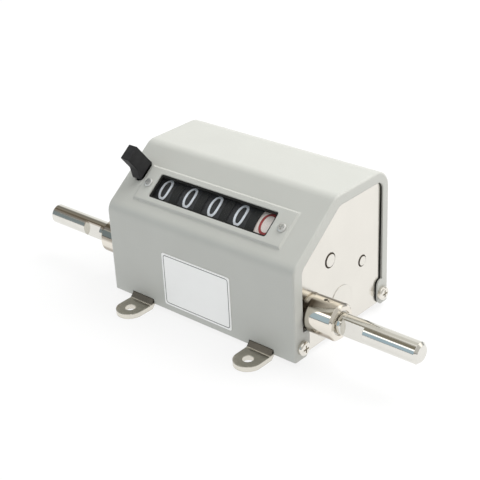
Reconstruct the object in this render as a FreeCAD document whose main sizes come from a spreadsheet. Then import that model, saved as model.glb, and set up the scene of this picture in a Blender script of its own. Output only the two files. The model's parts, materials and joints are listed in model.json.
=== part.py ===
import FreeCAD, Part

import math
import os

import Sketcher
from FreeCAD import Placement, Rotation, Vector

# A cable length counter, in millimetres. +X runs along the shaft to the right end, +Y from the front to
# the back and +Z up. The origin is the middle of the four mounting holes, on the plane the feet stand on.

PARTS_FOLDER = "parts"
SHEET_NAME = "Sizes"

DRIVING_SIZES = {
    # body
    "body_length": 115.0,
    "body_depth": 70.9,
    "body_height": 69.5,
    "front_height": 45.8,
    "slope_run": 31.75,
    "sheet": 1.2,
    "front_fold": 7.0,
    "top_fold": 7.5,
    "back_fold": 9.5,
    "cover_lift": 2.7,
    # end lips and screw tabs of the cover
    "lip_front": 5.9,
    "lip_slope": 5.1,
    "lip_back": 4.7,
    "tab_front": 10.4,
    "tab_back": 8.5,
    "tab_rise": 13.3,
    "tab_corner": 3.0,
    "tab_round": 3.6,
    "tab_flare": 2.6,
    "lip_inner_ease": 2.0,
    "end_ease": 1.0,
    "tab_screw_in": 5.1,
    "tab_screw_up": 5.8,
    # raised panel, window and slot of the slope
    "panel_half": 45.3,
    "panel_low": 7.7,
    "panel_high": 27.1,
    "panel_rise": 0.8,
    "panel_bevel": 0.8,
    "window_left": 37.0,
    "window_right": 35.3,
    "window_low": 10.8,
    "window_high": 23.8,
    "window_corner": 1.2,
    "gasket_width": 0.9,
    "gasket_thick": 1.4,
    "lens_thick": 1.0,
    "lens_margin": 2.6,
    "lens_reach": 44.3,
    "window_screw_x": 41.0,
    "window_screw_along": 17.4,
    "slot_width": 5.4,
    "slot_low": 16.9,
    "slot_high": 28.4,
    # side plates, base plate, rods
    "plate": 1.5,
    "plate_gap": 0.3,
    "plate_floor": 0.8,
    "base_thick": 1.5,
    "base_inset": 2.4,
    "tenon_start": 20.0,
    "tenon_width": 10.0,
    "rod_radius": 2.5,
    "rod_end_radius": 1.8,
    "rod_end": 0.9,
    "blind_depth": 1.0,
    "rod_front_in": 5.4,
    "rod_front_up": 33.0,
    "rod_top_in": 61.0,
    "rod_top_up": 59.0,
    "rod_low_in": 62.0,
    "rod_low_up": 13.0,
    # clearances that give the inner pieces their room: lever hub to side plate, rods to back and to top
    "lever_clear": 3.3,
    "rod_back_clear": 6.4,
    "rod_top_clear": 8.0,
    # feet
    "strap_thick": 2.4,
    "strap_width": 14.0,
    "strap_rise": 2.5,
    "strap_spread": 37.7,
    "foot_hole_out": 9.3,
    "foot_hole_radius": 2.7,
    "foot_bend": 2.3,
    "joggle_mitre_share": 0.414,
    "notch_gap": 0.25,
    "rivet_radius": 1.6,
    "rivet_head_radius": 3.0,
    "rivet_head": 1.0,
    "rivet_in": 14.0,
    # drive shaft and its bearings
    "shaft_radius": 5.0,
    "shaft_in": 14.3,
    "shaft_up": 19.5,
    "shaft_left": 114.7,
    "shaft_right": 113.3,
    "shaft_chamfer": 1.2,
    "flat_depth": 2.15,
    "flat_right_start": 75.1,
    "flat_left_start": 77.4,
    "flat_length": 11.2,
    "relief_x": 74.95,
    "relief_width": 0.6,
    "relief_depth": 0.25,
    "end_pin_x": 73.7,
    "end_pin_radius": 1.1,
    "end_pin_stand": 0.7,
    "end_pin_angle": 61.0,
    "housing_radius": 8.7,
    "housing_neck_radius": 8.1,
    "housing_neck_gap": 0.15,
    "housing_end": 72.4,
    "housing_chamfer": 1.1,
    "housing_mouth_radius": 5.9,
    "housing_mouth": 0.8,
    "oil_hole_in": 7.6,
    "oil_hole_radius": 0.9,
    "spigot_radius": 6.8,
    "nut_radius": 9.0,
    "nut_thick": 2.6,
    "bush_radius": 5.7,
    "running_gap": 0.05,
    "seat_gap": 0.02,
    # gear trains
    "gear_module": 1.0,
    "drive_teeth": 16,
    "units_teeth": 32,
    "train_angle": 56.5,
    "stub_share": 0.8,
    "root_share": 1.05,
    "tooth_thinning": 0.1,
    "pressure_angle": 20.0,
    "drive_gear_x": 42.5,
    "gear_width": 4.6,
    "gear_side_gap": 0.5,
    "gear_hub_radius": 6.4,
    "gear_hub_length": 4.0,
    "gear_pin_radius": 1.0,
    "units_hub_tail": 1.4,
    "key_width": 1.6,
    "key_low": 3.5,
    "key_high": 4.8,
    "key_length": 2.5,
    "drum_teeth": 20,
    "pinion_teeth": 12,
    "drum_module": 1.65,
    "drum_stub_share": 0.5,
    "pinion_angle": -23.9,
    # number drums
    "drum_radius": 18.6,
    "drum_wall": 2.0,
    "drum_rim_width": 12.0,
    "drum_pitch": 15.8,
    "units_x": 30.2,
    "axle_radius": 3.0,
    "hub_radius": 5.2,
    "web": 2.0,
    "drum_gear_width": 1.3,
    "disc_radius": 14.95,
    "disc_width": 1.2,
    "carry_notch_radius": 1.1,
    "carry_notch_angle": 18.0,
    "cam_width": 1.1,
    "cam_high": 8.0,
    "cam_low": 5.6,
    "side_gap": 0.2,
    "spacer_wall": 1.6,
    # transfer pinions
    "pinion_axle_radius": 2.3,
    "pinion_hub_radius": 4.2,
    "pinion_inset": 0.1,
    # bearing recesses of the plates
    "recess_radius": 3.75,
    "recess_depth": 0.7,
    "pinion_recess_radius": 2.95,
    "axle_stand": 0.4,
    "boss_radius": 7.4,
    "boss_depth": 0.25,
    # reset lever and comb
    "lever_x": 49.0,
    "lever_thick": 2.5,
    "lever_hub_radius": 6.0,
    "lever_hub_length": 5.0,
    "lever_base": 5.5,
    "lever_base_half": 3.0,
    "stem_low": 22.9,
    "stem_width": 4.0,
    "knob_width": 5.5,
    "knob_foot_low": 17.0,
    "knob_foot_high": 27.7,
    "knob_waist_low": 19.5,
    "knob_waist": 6.9,
    "knob_top_low": 19.3,
    "knob_top_high": 27.4,
    "knob_top": 15.3,
    "knob_lift": 1.0,
    "knob_seat": 8.0,
    "knob_round": 0.5,
    "lever_travel": 14.0,
    "comb_in": 35.5,
    "comb_up": 15.5,
    "comb_radius": 2.5,
    "finger_thick": 0.6,
    "finger_width": 4.0,
    "finger_length": 30.0,
    "finger_clear": 13.0,
    "finger_stop": 8.6,
    "lobe_reach": 12.3,
    "lobe_width": 5.0,
    "crank_reach": 15.0,
    "crank_width": 4.0,
    "lobe_gap": 0.6,
    "spring_wire": 0.7,
    "spring_radius": 3.8,
    "spring_pitch": 1.0,
    "spring_turns": 3,
    # screws and name plate
    "screw_head_radius": 3.4,
    "screw_head_round": 1.1,
    "screw_head": 2.2,
    "screw_radius": 1.5,
    "screw_length": 6.0,
    "cross_width": 0.8,
    "cross_depth": 1.2,
    "cross_share": 0.55,
    "window_head_radius": 2.2,
    "window_head": 0.9,
    "window_head_round": 0.6,
    "window_cross_width": 0.5,
    "window_cross_depth": 0.5,
    "window_shank_radius": 1.0,
    "window_tail_radius": 1.6,
    "window_tail": 0.45,
    "plate_sign_left": 22.2,
    "plate_sign_right": 20.4,
    "plate_sign_low": 3.2,
    "plate_sign_high": 31.0,
    "plate_sign_thick": 0.3,
    "plate_sign_corner": 1.2,
    # one overrun for every cut
    "overrun": 1.0,
}


class Size:
    """A size and the expression that binds it to the sheet; sums of sizes carry both along."""

    def __init__(self, value, text):
        self.value = value
        self.text = text

    def _join(self, other, sign, value):
        text = other.text if isinstance(other, Size) else repr(other)
        return Size(value, "(" + self.text + " " + sign + " " + text + ")")

    def __add__(self, other):
        return self._join(other, "+", self.value + number(other))

    def __sub__(self, other):
        return self._join(other, "-", self.value - number(other))

    def __mul__(self, other):
        return self._join(other, "*", self.value * number(other))

    def __truediv__(self, other):
        return self._join(other, "/", self.value / number(other))

    def __neg__(self):
        return Size(-self.value, "(0 - " + self.text + ")")


def number(item):
    """The plain value of a size or of a number."""
    return item.value if isinstance(item, Size) else item


def text_of(item):
    """The expression of a size or of a number."""
    return item.text if isinstance(item, Size) else repr(item)


def sine(angle):
    """Sine of an angle held in degrees."""
    return Size(math.sin(math.radians(angle.value)), "sin(" + angle.text + ")")


def cosine(angle):
    """Cosine of an angle held in degrees."""
    return Size(math.cos(math.radians(angle.value)), "cos(" + angle.text + ")")


def arcsine(share):
    """Angle in degrees whose sine is the share."""
    return Size(math.degrees(math.asin(share.value)), "(asin(" + share.text + ") / 1 deg)")


def direction(rise, run):
    """Angle in degrees of a rise over a run."""
    text = "(atan2(" + rise.text + "; " + run.text + ") / 1 deg)"
    return Size(math.degrees(math.atan2(rise.value, run.value)), text)


def length_of(first, second):
    """Length of the slanted side over two square ones."""
    text = "sqrt(" + first.text + " ^ 2 + " + second.text + " ^ 2)"
    return Size(math.hypot(first.value, second.value), text)


ZERO = Size(0.0, "0")


def least(first, second):
    """The smaller of two sizes."""
    return Size(min(first.value, second.value), "min(" + first.text + "; " + second.text + ")")


class Sizes:
    """Every driving size of the sheet, by name."""

    def __init__(self, sheet):
        self.page = sheet
        self.rows = 0
        for alias, value in DRIVING_SIZES.items():
            setattr(self, alias, self.enter(alias, value, str(value)))

    def enter(self, alias, value, content):
        """Write the next cell of the sheet under its alias."""
        self.rows += 1
        cell = "B" + str(self.rows)
        self.page.set("A" + str(self.rows), alias)
        self.page.set(cell, content)
        self.page.setAlias(cell, alias)
        return Size(float(value), SHEET_NAME + "." + alias)

    def follow(self, alias, share, names):
        """Multiply sizes by the share of their room that the body gives, each in a cell of its own."""
        told = self.enter(alias, share.value, "=" + share.text.replace(SHEET_NAME + ".", ""))
        for name in names:
            value = getattr(self, name).value * told.value
            setattr(self, name, self.enter("fitted_" + name, value, "=" + name + " * " + alias))
        return told


doc = FreeCAD.newDocument("LengthCounter")
sheet = doc.addObject("Spreadsheet::Sheet", SHEET_NAME)
size = Sizes(sheet)

# Inner pieces follow the room between the side plates, from front to back and from base to top
size.follow(
    "length_share",
    (size.body_length / 2 - size.sheet - size.plate)
    / (size.lever_x + size.lever_hub_length / 2 + size.lever_clear),
    ("panel_half", "window_left", "window_right", "lens_reach", "window_screw_x", "plate_sign_left",
     "plate_sign_right", "strap_spread", "shaft_left", "shaft_right", "flat_right_start", "flat_left_start",
     "relief_x", "end_pin_x", "housing_end", "drive_gear_x", "gear_width", "gear_side_gap", "gear_hub_length",
     "units_hub_tail", "key_length", "drum_rim_width", "drum_pitch", "units_x", "web", "drum_gear_width",
     "disc_width", "cam_width", "side_gap", "pinion_inset", "lever_x", "lever_hub_length", "spring_pitch",
     "spring_wire"),
)
depth_share = size.follow(
    "depth_share",
    size.body_depth / (size.rod_low_in + size.rod_radius + size.rod_back_clear),
    ("shaft_in", "rod_front_in", "rod_top_in", "rod_low_in", "comb_in"),
)
height_share = size.follow(
    "height_share",
    size.body_height / (size.rod_top_up + size.rod_radius + size.rod_top_clear),
    ("shaft_up", "rod_front_up", "rod_top_up", "rod_low_up", "comb_up"),
)
size.follow(
    "section_share",
    least(depth_share, height_share),
    ("shaft_radius", "gear_module", "drum_module", "drum_radius", "drum_wall", "disc_radius",
     "carry_notch_radius", "cam_high", "cam_low", "hub_radius", "key_low", "key_high", "axle_radius",
     "pinion_axle_radius", "pinion_hub_radius", "gear_hub_radius", "finger_clear", "finger_stop",
     "finger_length", "lobe_reach", "crank_reach", "lever_hub_radius", "panel_low", "panel_high", "window_low",
     "window_high", "window_screw_along", "plate_sign_low", "plate_sign_high", "slot_low", "slot_high",
     "stem_low", "knob_foot_low", "knob_foot_high", "knob_waist_low", "knob_top_low", "knob_top_high"),
)
doc.recompute()

nodes = {}

# Places that follow from the driving sizes

HALF_LENGTH = size.body_length / 2
FRONT = -size.body_depth / 2
BACK = size.body_depth / 2
BASE = size.cover_lift
SLOPE_RISE = size.body_height - size.front_height
SLOPE_LENGTH = length_of(size.slope_run, SLOPE_RISE)
SLOPE_COS = size.slope_run / SLOPE_LENGTH
SLOPE_SIN = SLOPE_RISE / SLOPE_LENGTH
SLOPE_ANGLE = direction(SLOPE_RISE, size.slope_run)
SLOPE_FOOT_Z = BASE + size.front_height

PLATE_OUT = HALF_LENGTH - size.sheet
PLATE_IN = PLATE_OUT - size.plate
STRAP_TOP = size.strap_rise + size.strap_thick
BASE_TOP = STRAP_TOP + size.base_thick

SHAFT_Y = FRONT + size.shaft_in
SHAFT_Z = BASE + size.shaft_up
GEAR_DISTANCE = size.gear_module * (size.drive_teeth + size.units_teeth) / 2
AXLE_Y = SHAFT_Y + GEAR_DISTANCE * cosine(size.train_angle)
AXLE_Z = SHAFT_Z + GEAR_DISTANCE * sine(size.train_angle)
PINION_DISTANCE = size.drum_module * (size.drum_teeth + size.pinion_teeth) / 2
PINION_Y = AXLE_Y + PINION_DISTANCE * cosine(size.pinion_angle)
PINION_Z = AXLE_Z + PINION_DISTANCE * sine(size.pinion_angle)
COMB_Y = FRONT + size.comb_in
COMB_Z = BASE + size.comb_up

# The drum axle seen from the foot of the slope: along the slope, and out along its normal
AXLE_ALONG = (AXLE_Y - FRONT) * SLOPE_COS + (AXLE_Z - SLOPE_FOOT_Z) * SLOPE_SIN
AXLE_OUT = (AXLE_Z - SLOPE_FOOT_Z) * SLOPE_COS - (AXLE_Y - FRONT) * SLOPE_SIN

# The comb swings about its own shaft, and its rest is told from the line to the drum axle
COMB_DISTANCE = length_of(AXLE_Y - COMB_Y, AXLE_Z - COMB_Z)
COMB_TO_AXLE = direction(AXLE_Z - COMB_Z, AXLE_Y - COMB_Y)
FINGER_REST = arcsine(size.finger_clear / COMB_DISTANCE)
COMB_TRAVEL = FINGER_REST - arcsine(size.finger_stop / COMB_DISTANCE)

DRUM_NAMES = ("units", "tens", "hundreds", "thousands", "ten_thousands")
DRUM_HALF = size.drum_rim_width / 2
GEAR_SIDE = DRUM_HALF + size.drum_gear_width
DISC_SIDE = DRUM_HALF + size.disc_width
CAM_SIDE = DISC_SIDE + size.cam_width
ZONE = size.drum_pitch - size.drum_rim_width

FULL_TURN = 360
SIDES = (("left", -1), ("right", 1))
X_AXIS = Vector(1, 0, 0)
Y_AXIS = Vector(0, 1, 0)
Z_AXIS = Vector(0, 0, 1)
UPRIGHT = Rotation()
ALONG_X = Rotation(Y_AXIS, 90)
ALONG_Y = Rotation(X_AXIS, -90)
TURNED = Rotation(Z_AXIS, 180)
CLOSE = 1e-4


class Tilt:
    """A turn about the X axis by a bound angle in degrees."""

    def __init__(self, angle):
        self.angle = angle
        self.turn = Rotation(X_AXIS, angle.value)


ON_SLOPE = Tilt(SLOPE_ANGLE)


def fresh(kind, name):
    """A new object of the document."""
    return doc.addObject(kind, name)


def bind(target, **places):
    """Bind properties of an object to sizes."""
    for name, item in places.items():
        target.setExpression(name, text_of(item))


def place(target, spot, rotation=UPRIGHT):
    """Give an object its rotation and bind its place."""
    tilted = isinstance(rotation, Tilt)
    turn = rotation.turn if tilted else rotation
    target.Placement = Placement(Vector(*[number(item) for item in spot]), turn)
    for axis, item in zip("xyz", spot):
        target.setExpression("Placement.Base." + axis, text_of(item))
    if tilted:
        target.setExpression("Placement.Rotation.Angle", rotation.angle.text)
    return target


def slope_spot(x, along, out):
    """A place given by its distance along the slope and out of it."""
    y = FRONT + along * SLOPE_COS - out * SLOPE_SIN
    z = SLOPE_FOOT_Z + along * SLOPE_SIN + out * SLOPE_COS
    return (x, y, z)


def box(name, low, extent, rotation=UPRIGHT):
    """A block from its low corner and its three lengths."""
    made = fresh("Part::Box", name)
    bind(made, Length=extent[0], Width=extent[1], Height=extent[2])
    return place(made, low, rotation)


def rod(name, radius, length, start, rotation=ALONG_X):
    """A cylinder from its start along the rotation's axis."""
    made = fresh("Part::Cylinder", name)
    bind(made, Radius=radius, Height=length)
    return place(made, start, rotation)


def taper(name, radii, length, start, rotation=ALONG_X):
    """A cone's frustum from its start along the rotation's axis."""
    made = fresh("Part::Cone", name)
    bind(made, Radius1=radii[0], Radius2=radii[1], Height=length)
    return place(made, start, rotation)


def fuse(name, *pieces):
    """One solid of several overlapping ones."""
    made = fresh("Part::MultiFuse", name)
    made.Shapes = list(pieces)
    made.Refine = True
    return made


def cut(name, base, *tools):
    """A base less its tools."""
    made = fresh("Part::Cut", name)
    made.Base = base
    made.Tool = tools[0] if len(tools) == 1 else fuse(name + "_tools", *tools)
    return made


def common(name, *pieces):
    """What several solids share."""
    made = fresh("Part::MultiCommon", name)
    made.Shapes = list(pieces)
    return made


def tube(name, outer, inner, length, start):
    """A tube along X."""
    over = size.overrun
    bore_start = (start[0] - over, start[1], start[2])
    wall = rod(name + "_wall", outer, length, start)
    return cut(name + "_tube", wall, rod(name + "_bore", inner, length + over * 2, bore_start))


def feature(name, shape, spot, rotation=UPRIGHT):
    """A piece drawn point by point about its own axis."""
    made = fresh("Part::Feature", name)
    made.Shape = shape
    return place(made, spot, rotation)


def reach(sign, near, far):
    """Where a stretch between two distances from the middle starts on one side, and its length."""
    return (near if sign > 0 else -far), far - near


def node(name, piece):
    """Keep a piece as a node of the part."""
    piece.Label = name
    nodes[name] = piece
    return piece


def prism(name, points, start, length):
    """A body padded along X from a polygon whose corners are bound one by one."""
    body = fresh("PartDesign::Body", name + "_body")
    sketch = body.newObject("Sketcher::SketchObject", name + "_sketch")
    plane = next(item for item in body.Origin.OriginFeatures if item.Role == "YZ_Plane")
    sketch.AttachmentSupport = [(plane, "")]
    sketch.MapMode = "FlatFace"
    count = len(points)
    spots = [Vector(number(across), number(up), 0) for across, up in points]
    for index in range(count):
        sketch.addGeometry(Part.LineSegment(spots[index], spots[(index + 1) % count]), False)
    for index in range(count):
        sketch.addConstraint(Sketcher.Constraint("Coincident", index, 2, (index + 1) % count, 1))
    for index, point in enumerate(points):
        for kind, item in zip(("DistanceX", "DistanceY"), point):
            made = sketch.addConstraint(Sketcher.Constraint(kind, -1, 1, index, 1, number(item)))
            label = "corner" + kind[-1] + str(index)
            sketch.renameConstraint(made, label)
            sketch.setExpression("Constraints." + label, text_of(item))
    sketch.setExpression("AttachmentOffset.Base.z", text_of(start))
    pad = body.newObject("PartDesign::Pad", name + "_pad")
    pad.Profile = sketch
    bind(pad, Length=length)
    body.Tip = pad
    doc.recompute()
    return body


def edge_at(shape, point):
    """Name of the edge along X that passes a profile point."""
    spot = Vector(0, number(point[0]), number(point[1]))
    for index, edge in enumerate(shape.Edges, start=1):
        if edge.Curve.TypeId != "Part::GeomLine":
            continue
        if not runs_along(edge, X_AXIS):
            continue
        offset = edge.Vertexes[0].Point - spot
        offset.x = 0
        if offset.Length < CLOSE:
            return "Edge" + str(index)
    raise RuntimeError("no edge at " + str(spot))


def soften(body, corners, radius):
    """Round a body's edges along X at the given profile corners."""
    base = body.Tip
    fillet = body.newObject("PartDesign::Fillet", body.Name + "_round")
    fillet.Base = (base, [edge_at(base.Shape, corner) for corner in corners])
    bind(fillet, Radius=radius)
    body.Tip = fillet
    doc.recompute()


def runs_along(edge, way):
    """Whether an edge starts along a direction, either way."""
    return abs(abs(edge.tangentAt(edge.FirstParameter).dot(way)) - 1) < CLOSE


def round_edges(name, base, radius, wanted, chamfer=False):
    """Round or bevel the edges of an object that a test picks."""
    doc.recompute()
    made = fresh("Part::Chamfer" if chamfer else "Part::Fillet", name)
    made.Base = base
    edges = enumerate(base.Shape.Edges, start=1)
    made.Edges = [(index, radius.value, radius.value) for index, edge in edges if wanted(edge)]
    return made


def profile(front_gap, slope_gap, back_gap, floor):
    """The body's five-sided section, moved inward by the given gaps."""
    near = FRONT + front_gap
    far = BACK - back_gap
    top = BASE + size.body_height - slope_gap
    slope = SLOPE_RISE / size.slope_run
    drop = slope_gap / SLOPE_COS
    fold_low = SLOPE_FOOT_Z + front_gap * slope - drop
    fold_high = FRONT + (top - SLOPE_FOOT_Z + drop) / slope
    return [(near, floor), (near, fold_low), (fold_high, top), (far, top), (far, floor)]


def body_prism(name, gap, floor, start, length):
    """A prism of the body's section, moved inward by one gap, with its three folds rounded."""
    points = profile(gap, gap, gap, floor)
    body = prism(name, points, start, length)
    for index, fold in ((1, size.front_fold), (2, size.top_fold), (3, size.back_fold)):
        soften(body, [points[index]], fold - gap)
    return body


# Cover: one bent sheet, with lips and screw tabs turned in at its ends

def make_cover():
    """The bent cover with its window, slot, notches, holes and raised panel."""
    over = size.overrun
    outer = body_prism("cover_outer", ZERO, BASE, -HALF_LENGTH, size.body_length)
    inner = body_prism("cover_inner", size.sheet, BASE - over, size.sheet - HALF_LENGTH,
                       size.body_length - size.sheet * 2)
    skin = fuse("cover_skin", ease_ends(outer), make_panel())
    deep = size.sheet * 4
    window = window_block("cover_window", ZERO, -deep, deep * 2)
    tools = [inner, make_end_opening(), window, make_slot()]
    tools += make_notches()
    tools += make_cover_holes()
    node("cover", cut("cover_shell", skin, *tools))


def ease_ends(outer):
    """The cover's outside with the bends of its end lips rounded, up to its open bottom."""
    def on_end(edge):
        spots = [vertex.Point for vertex in edge.Vertexes]
        at_end = all(abs(abs(spot.x) - HALF_LENGTH.value) < CLOSE for spot in spots)
        at_bottom = all(abs(spot.z - BASE.value) < CLOSE for spot in spots)
        return at_end and not at_bottom

    return round_edges("cover_eased", outer, size.end_ease, on_end)


def make_end_opening():
    """What is open at both ends, inside the lips and the screw tabs."""
    over = size.overrun
    lips = profile(size.lip_front, size.lip_slope, size.lip_back, BASE)
    rise = BASE + size.tab_rise
    near_tab = FRONT + size.tab_front
    far_tab = BACK - size.tab_back
    flare = size.tab_flare
    points = [
        (near_tab - flare, BASE - over),
        (near_tab - flare, BASE),
        (near_tab, BASE + flare),
        (near_tab, rise),
        (lips[0][0], rise),
        lips[1],
        lips[2],
        lips[3],
        (lips[3][0], rise),
        (far_tab, rise),
        (far_tab, BASE + flare),
        (far_tab + flare, BASE),
        (far_tab + flare, BASE - over),
    ]
    body = prism("cover_opening", points, -HALF_LENGTH - over, size.body_length + over * 2)
    soften(body, [points[3], points[9]], size.tab_corner)
    soften(body, [points[5]], size.front_fold - size.lip_inner_ease)
    soften(body, [points[6]], size.top_fold - size.lip_inner_ease)
    soften(body, [points[7]], size.back_fold - size.lip_slope)
    soften(body, [points[2], points[10]], size.tab_round)
    return body


def make_panel():
    """The raised panel on the slope, with a bevelled edge."""
    sunk = size.sheet / 2
    low = slope_spot(-size.panel_half, size.panel_low, -sunk)
    extent = (size.panel_half * 2, size.panel_high - size.panel_low, sunk + size.panel_rise)
    block = box("panel_block", low, extent, ON_SLOPE)
    doc.recompute()
    normal = Vector(0, -SLOPE_SIN.value, SLOPE_COS.value)
    top = max(vertex.Point.dot(normal) for vertex in block.Shape.Vertexes)

    def on_top(edge):
        return all(top - vertex.Point.dot(normal) < CLOSE for vertex in edge.Vertexes)

    return round_edges("panel_bevelled", block, size.panel_bevel, on_top, True)


def window_block(name, inset, bottom, height):
    """The window's outline as a block with rounded corners, narrowed by an inset."""
    low = slope_spot(inset - size.window_left, size.window_low + inset, bottom)
    width = size.window_left + size.window_right - inset * 2
    length = size.window_high - size.window_low - inset * 2
    block = box(name + "_block", low, (width, length, height), ON_SLOPE)
    normal = Vector(0, -SLOPE_SIN.value, SLOPE_COS.value)
    return round_edges(name, block, size.window_corner - inset / 2, lambda edge: runs_along(edge, normal))


def make_slot():
    """The lever's slot in the slope, with round ends."""
    deep = size.sheet * 3
    radius = size.slot_width / 2
    centre = -size.lever_x
    straight = size.slot_high - size.slot_low - size.slot_width
    middle = box("slot_middle", slope_spot(centre - radius, size.slot_low + radius, -deep),
                 (size.slot_width, straight, deep * 2), ON_SLOPE)
    ends = [rod("slot_" + name + "_end", radius, deep * 2, slope_spot(centre, along, -deep), ON_SLOPE)
            for name, along in (("low", size.slot_low + radius), ("high", size.slot_high - radius))]
    return fuse("slot_tool", middle, *ends)


def make_notches():
    """Where the foot straps leave the cover, at the front and the back."""
    over = size.overrun
    width = size.strap_width + size.notch_gap * 2
    height = STRAP_TOP + size.notch_gap - BASE + over
    deep = size.sheet + over * 2
    tools = []
    for side, sign in SIDES:
        for end, at in (("front", FRONT - over), ("back", BACK - size.sheet - over)):
            low = (size.strap_spread * sign - width / 2, at, BASE - over)
            tools.append(box(side + "_" + end + "_notch", low, (width, deep, height)))
    return tools


def tab_screws():
    """The four screws of the end tabs: name, side and place across the body."""
    ends = (("front", FRONT + size.tab_screw_in), ("back", BACK - size.tab_screw_in))
    return [(side + "_" + end, sign, y) for side, sign in SIDES for end, y in ends]


def make_cover_holes():
    """Clearance holes for the cover screws and the window screws."""
    tools = []
    for name, sign, y in tab_screws():
        start, length = reach(sign, PLATE_OUT - size.overrun, HALF_LENGTH + size.overrun)
        spot = (start, y, BASE + size.tab_screw_up)
        tools.append(rod(name + "_cover_hole", size.screw_radius + size.seat_gap, length, spot))
    deep = size.sheet * 3
    for name, sign in SIDES:
        start = slope_spot(size.window_screw_x * sign, size.window_screw_along, -deep)
        radius = size.window_shank_radius + size.seat_gap
        tools.append(rod(name + "_window_hole", radius, deep * 2, start, ON_SLOPE))
    return tools


# Frame: side plates, base plate, tie rods and foot straps

def tie_rods():
    """The three tie rods: name, and place across and up."""
    return (
        ("front_tie_rod", FRONT + size.rod_front_in, BASE + size.rod_front_up),
        ("top_tie_rod", FRONT + size.rod_top_in, BASE + size.rod_top_up),
        ("low_tie_rod", FRONT + size.rod_low_in, BASE + size.rod_low_up),
    )


def make_side_plates():
    """Two plated sheets that carry the shaft, the axles, the rods and the base."""
    over = size.overrun
    gap = size.sheet + size.plate_gap
    for side, sign in SIDES:
        start, length = reach(sign, PLATE_IN, PLATE_OUT)
        blank = body_prism(side + "_plate_blank", gap, BASE + size.plate_floor, start, length)
        boss_start, boss_length = reach(sign, PLATE_OUT - size.plate / 2, PLATE_OUT + size.boss_depth)
        boss = rod(side + "_boss", size.boss_radius, boss_length, (boss_start, COMB_Y, COMB_Z))
        through, through_length = reach(sign, PLATE_IN - over, PLATE_OUT + over)
        blind, blind_length = reach(sign, PLATE_IN - over, PLATE_IN + size.blind_depth)
        seat = size.seat_gap
        holes = [
            ("shaft", size.spigot_radius + seat, SHAFT_Y, SHAFT_Z, through, through_length),
            ("axle", size.axle_radius + seat, AXLE_Y, AXLE_Z, through, through_length),
            ("pinion", size.pinion_axle_radius + seat, PINION_Y, PINION_Z, through, through_length),
            ("comb", size.comb_radius + size.running_gap, COMB_Y, COMB_Z, blind, blind_length),
        ]
        recess, recess_length = reach(sign, PLATE_OUT - size.recess_depth, PLATE_OUT + over)
        holes.append(("axle_recess", size.recess_radius, AXLE_Y, AXLE_Z, recess, recess_length))
        holes.append(("pinion_recess", size.pinion_recess_radius, PINION_Y, PINION_Z, recess, recess_length))
        for name, y, z in tie_rods():
            holes.append((name, size.rod_end_radius + seat, y, z, blind, blind_length))
        screw_z = BASE + size.tab_screw_up
        for name, screw_sign, y in tab_screws():
            if screw_sign == sign:
                holes.append((name, size.screw_radius + seat, y, screw_z, through, through_length))
        tools = [rod(side + "_" + name + "_hole", radius, hole_length, (hole_start, y, z))
                 for name, radius, y, z, hole_start, hole_length in holes]
        slot_low = (through, FRONT + size.tenon_start - seat, STRAP_TOP - seat)
        slot_extent = (through_length, size.tenon_width + seat * 2, size.base_thick + seat * 2)
        tools.append(box(side + "_tenon_slot", slot_low, slot_extent))
        bossed = fuse(side + "_plate_bossed", blank, boss)
        node(side + "_side_plate", cut(side + "_plate_cut", bossed, *tools))


def strap_rivet_places():
    """The four rivets that hold the foot straps: name and place."""
    ends = (("front", FRONT + size.rivet_in), ("back", BACK - size.rivet_in))
    return [(side + "_" + end, size.strap_spread * sign, y) for side, sign in SIDES for end, y in ends]


def make_base_plate():
    """The floor of the frame, with a tenon in each side plate."""
    floor = box("base_floor", (-PLATE_IN, FRONT + size.base_inset, STRAP_TOP),
                (PLATE_IN * 2, size.body_depth - size.base_inset * 2, size.base_thick))
    tenons = box("base_tenons", (-PLATE_OUT, FRONT + size.tenon_start, STRAP_TOP),
                 (PLATE_OUT * 2, size.tenon_width, size.base_thick))
    holes = [rod(name + "_base_hole", size.rivet_radius + size.seat_gap, size.base_thick + size.overrun * 2,
                 (x, y, STRAP_TOP - size.overrun), UPRIGHT) for name, x, y in strap_rivet_places()]
    node("base_plate", cut("base_cut", fuse("base_whole", floor, tenons), *holes))


def make_tie_rods():
    """Rods whose stepped ends seat in blind holes of the side plates."""
    for name, y, z in tie_rods():
        shank = rod(name + "_shank", size.rod_radius, PLATE_IN * 2, (-PLATE_IN, y, z))
        tips = rod(name + "_tips", size.rod_end_radius, (PLATE_IN + size.rod_end) * 2,
                   (-PLATE_IN - size.rod_end, y, z))
        node(name, fuse(name + "_whole", shank, tips))


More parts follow.
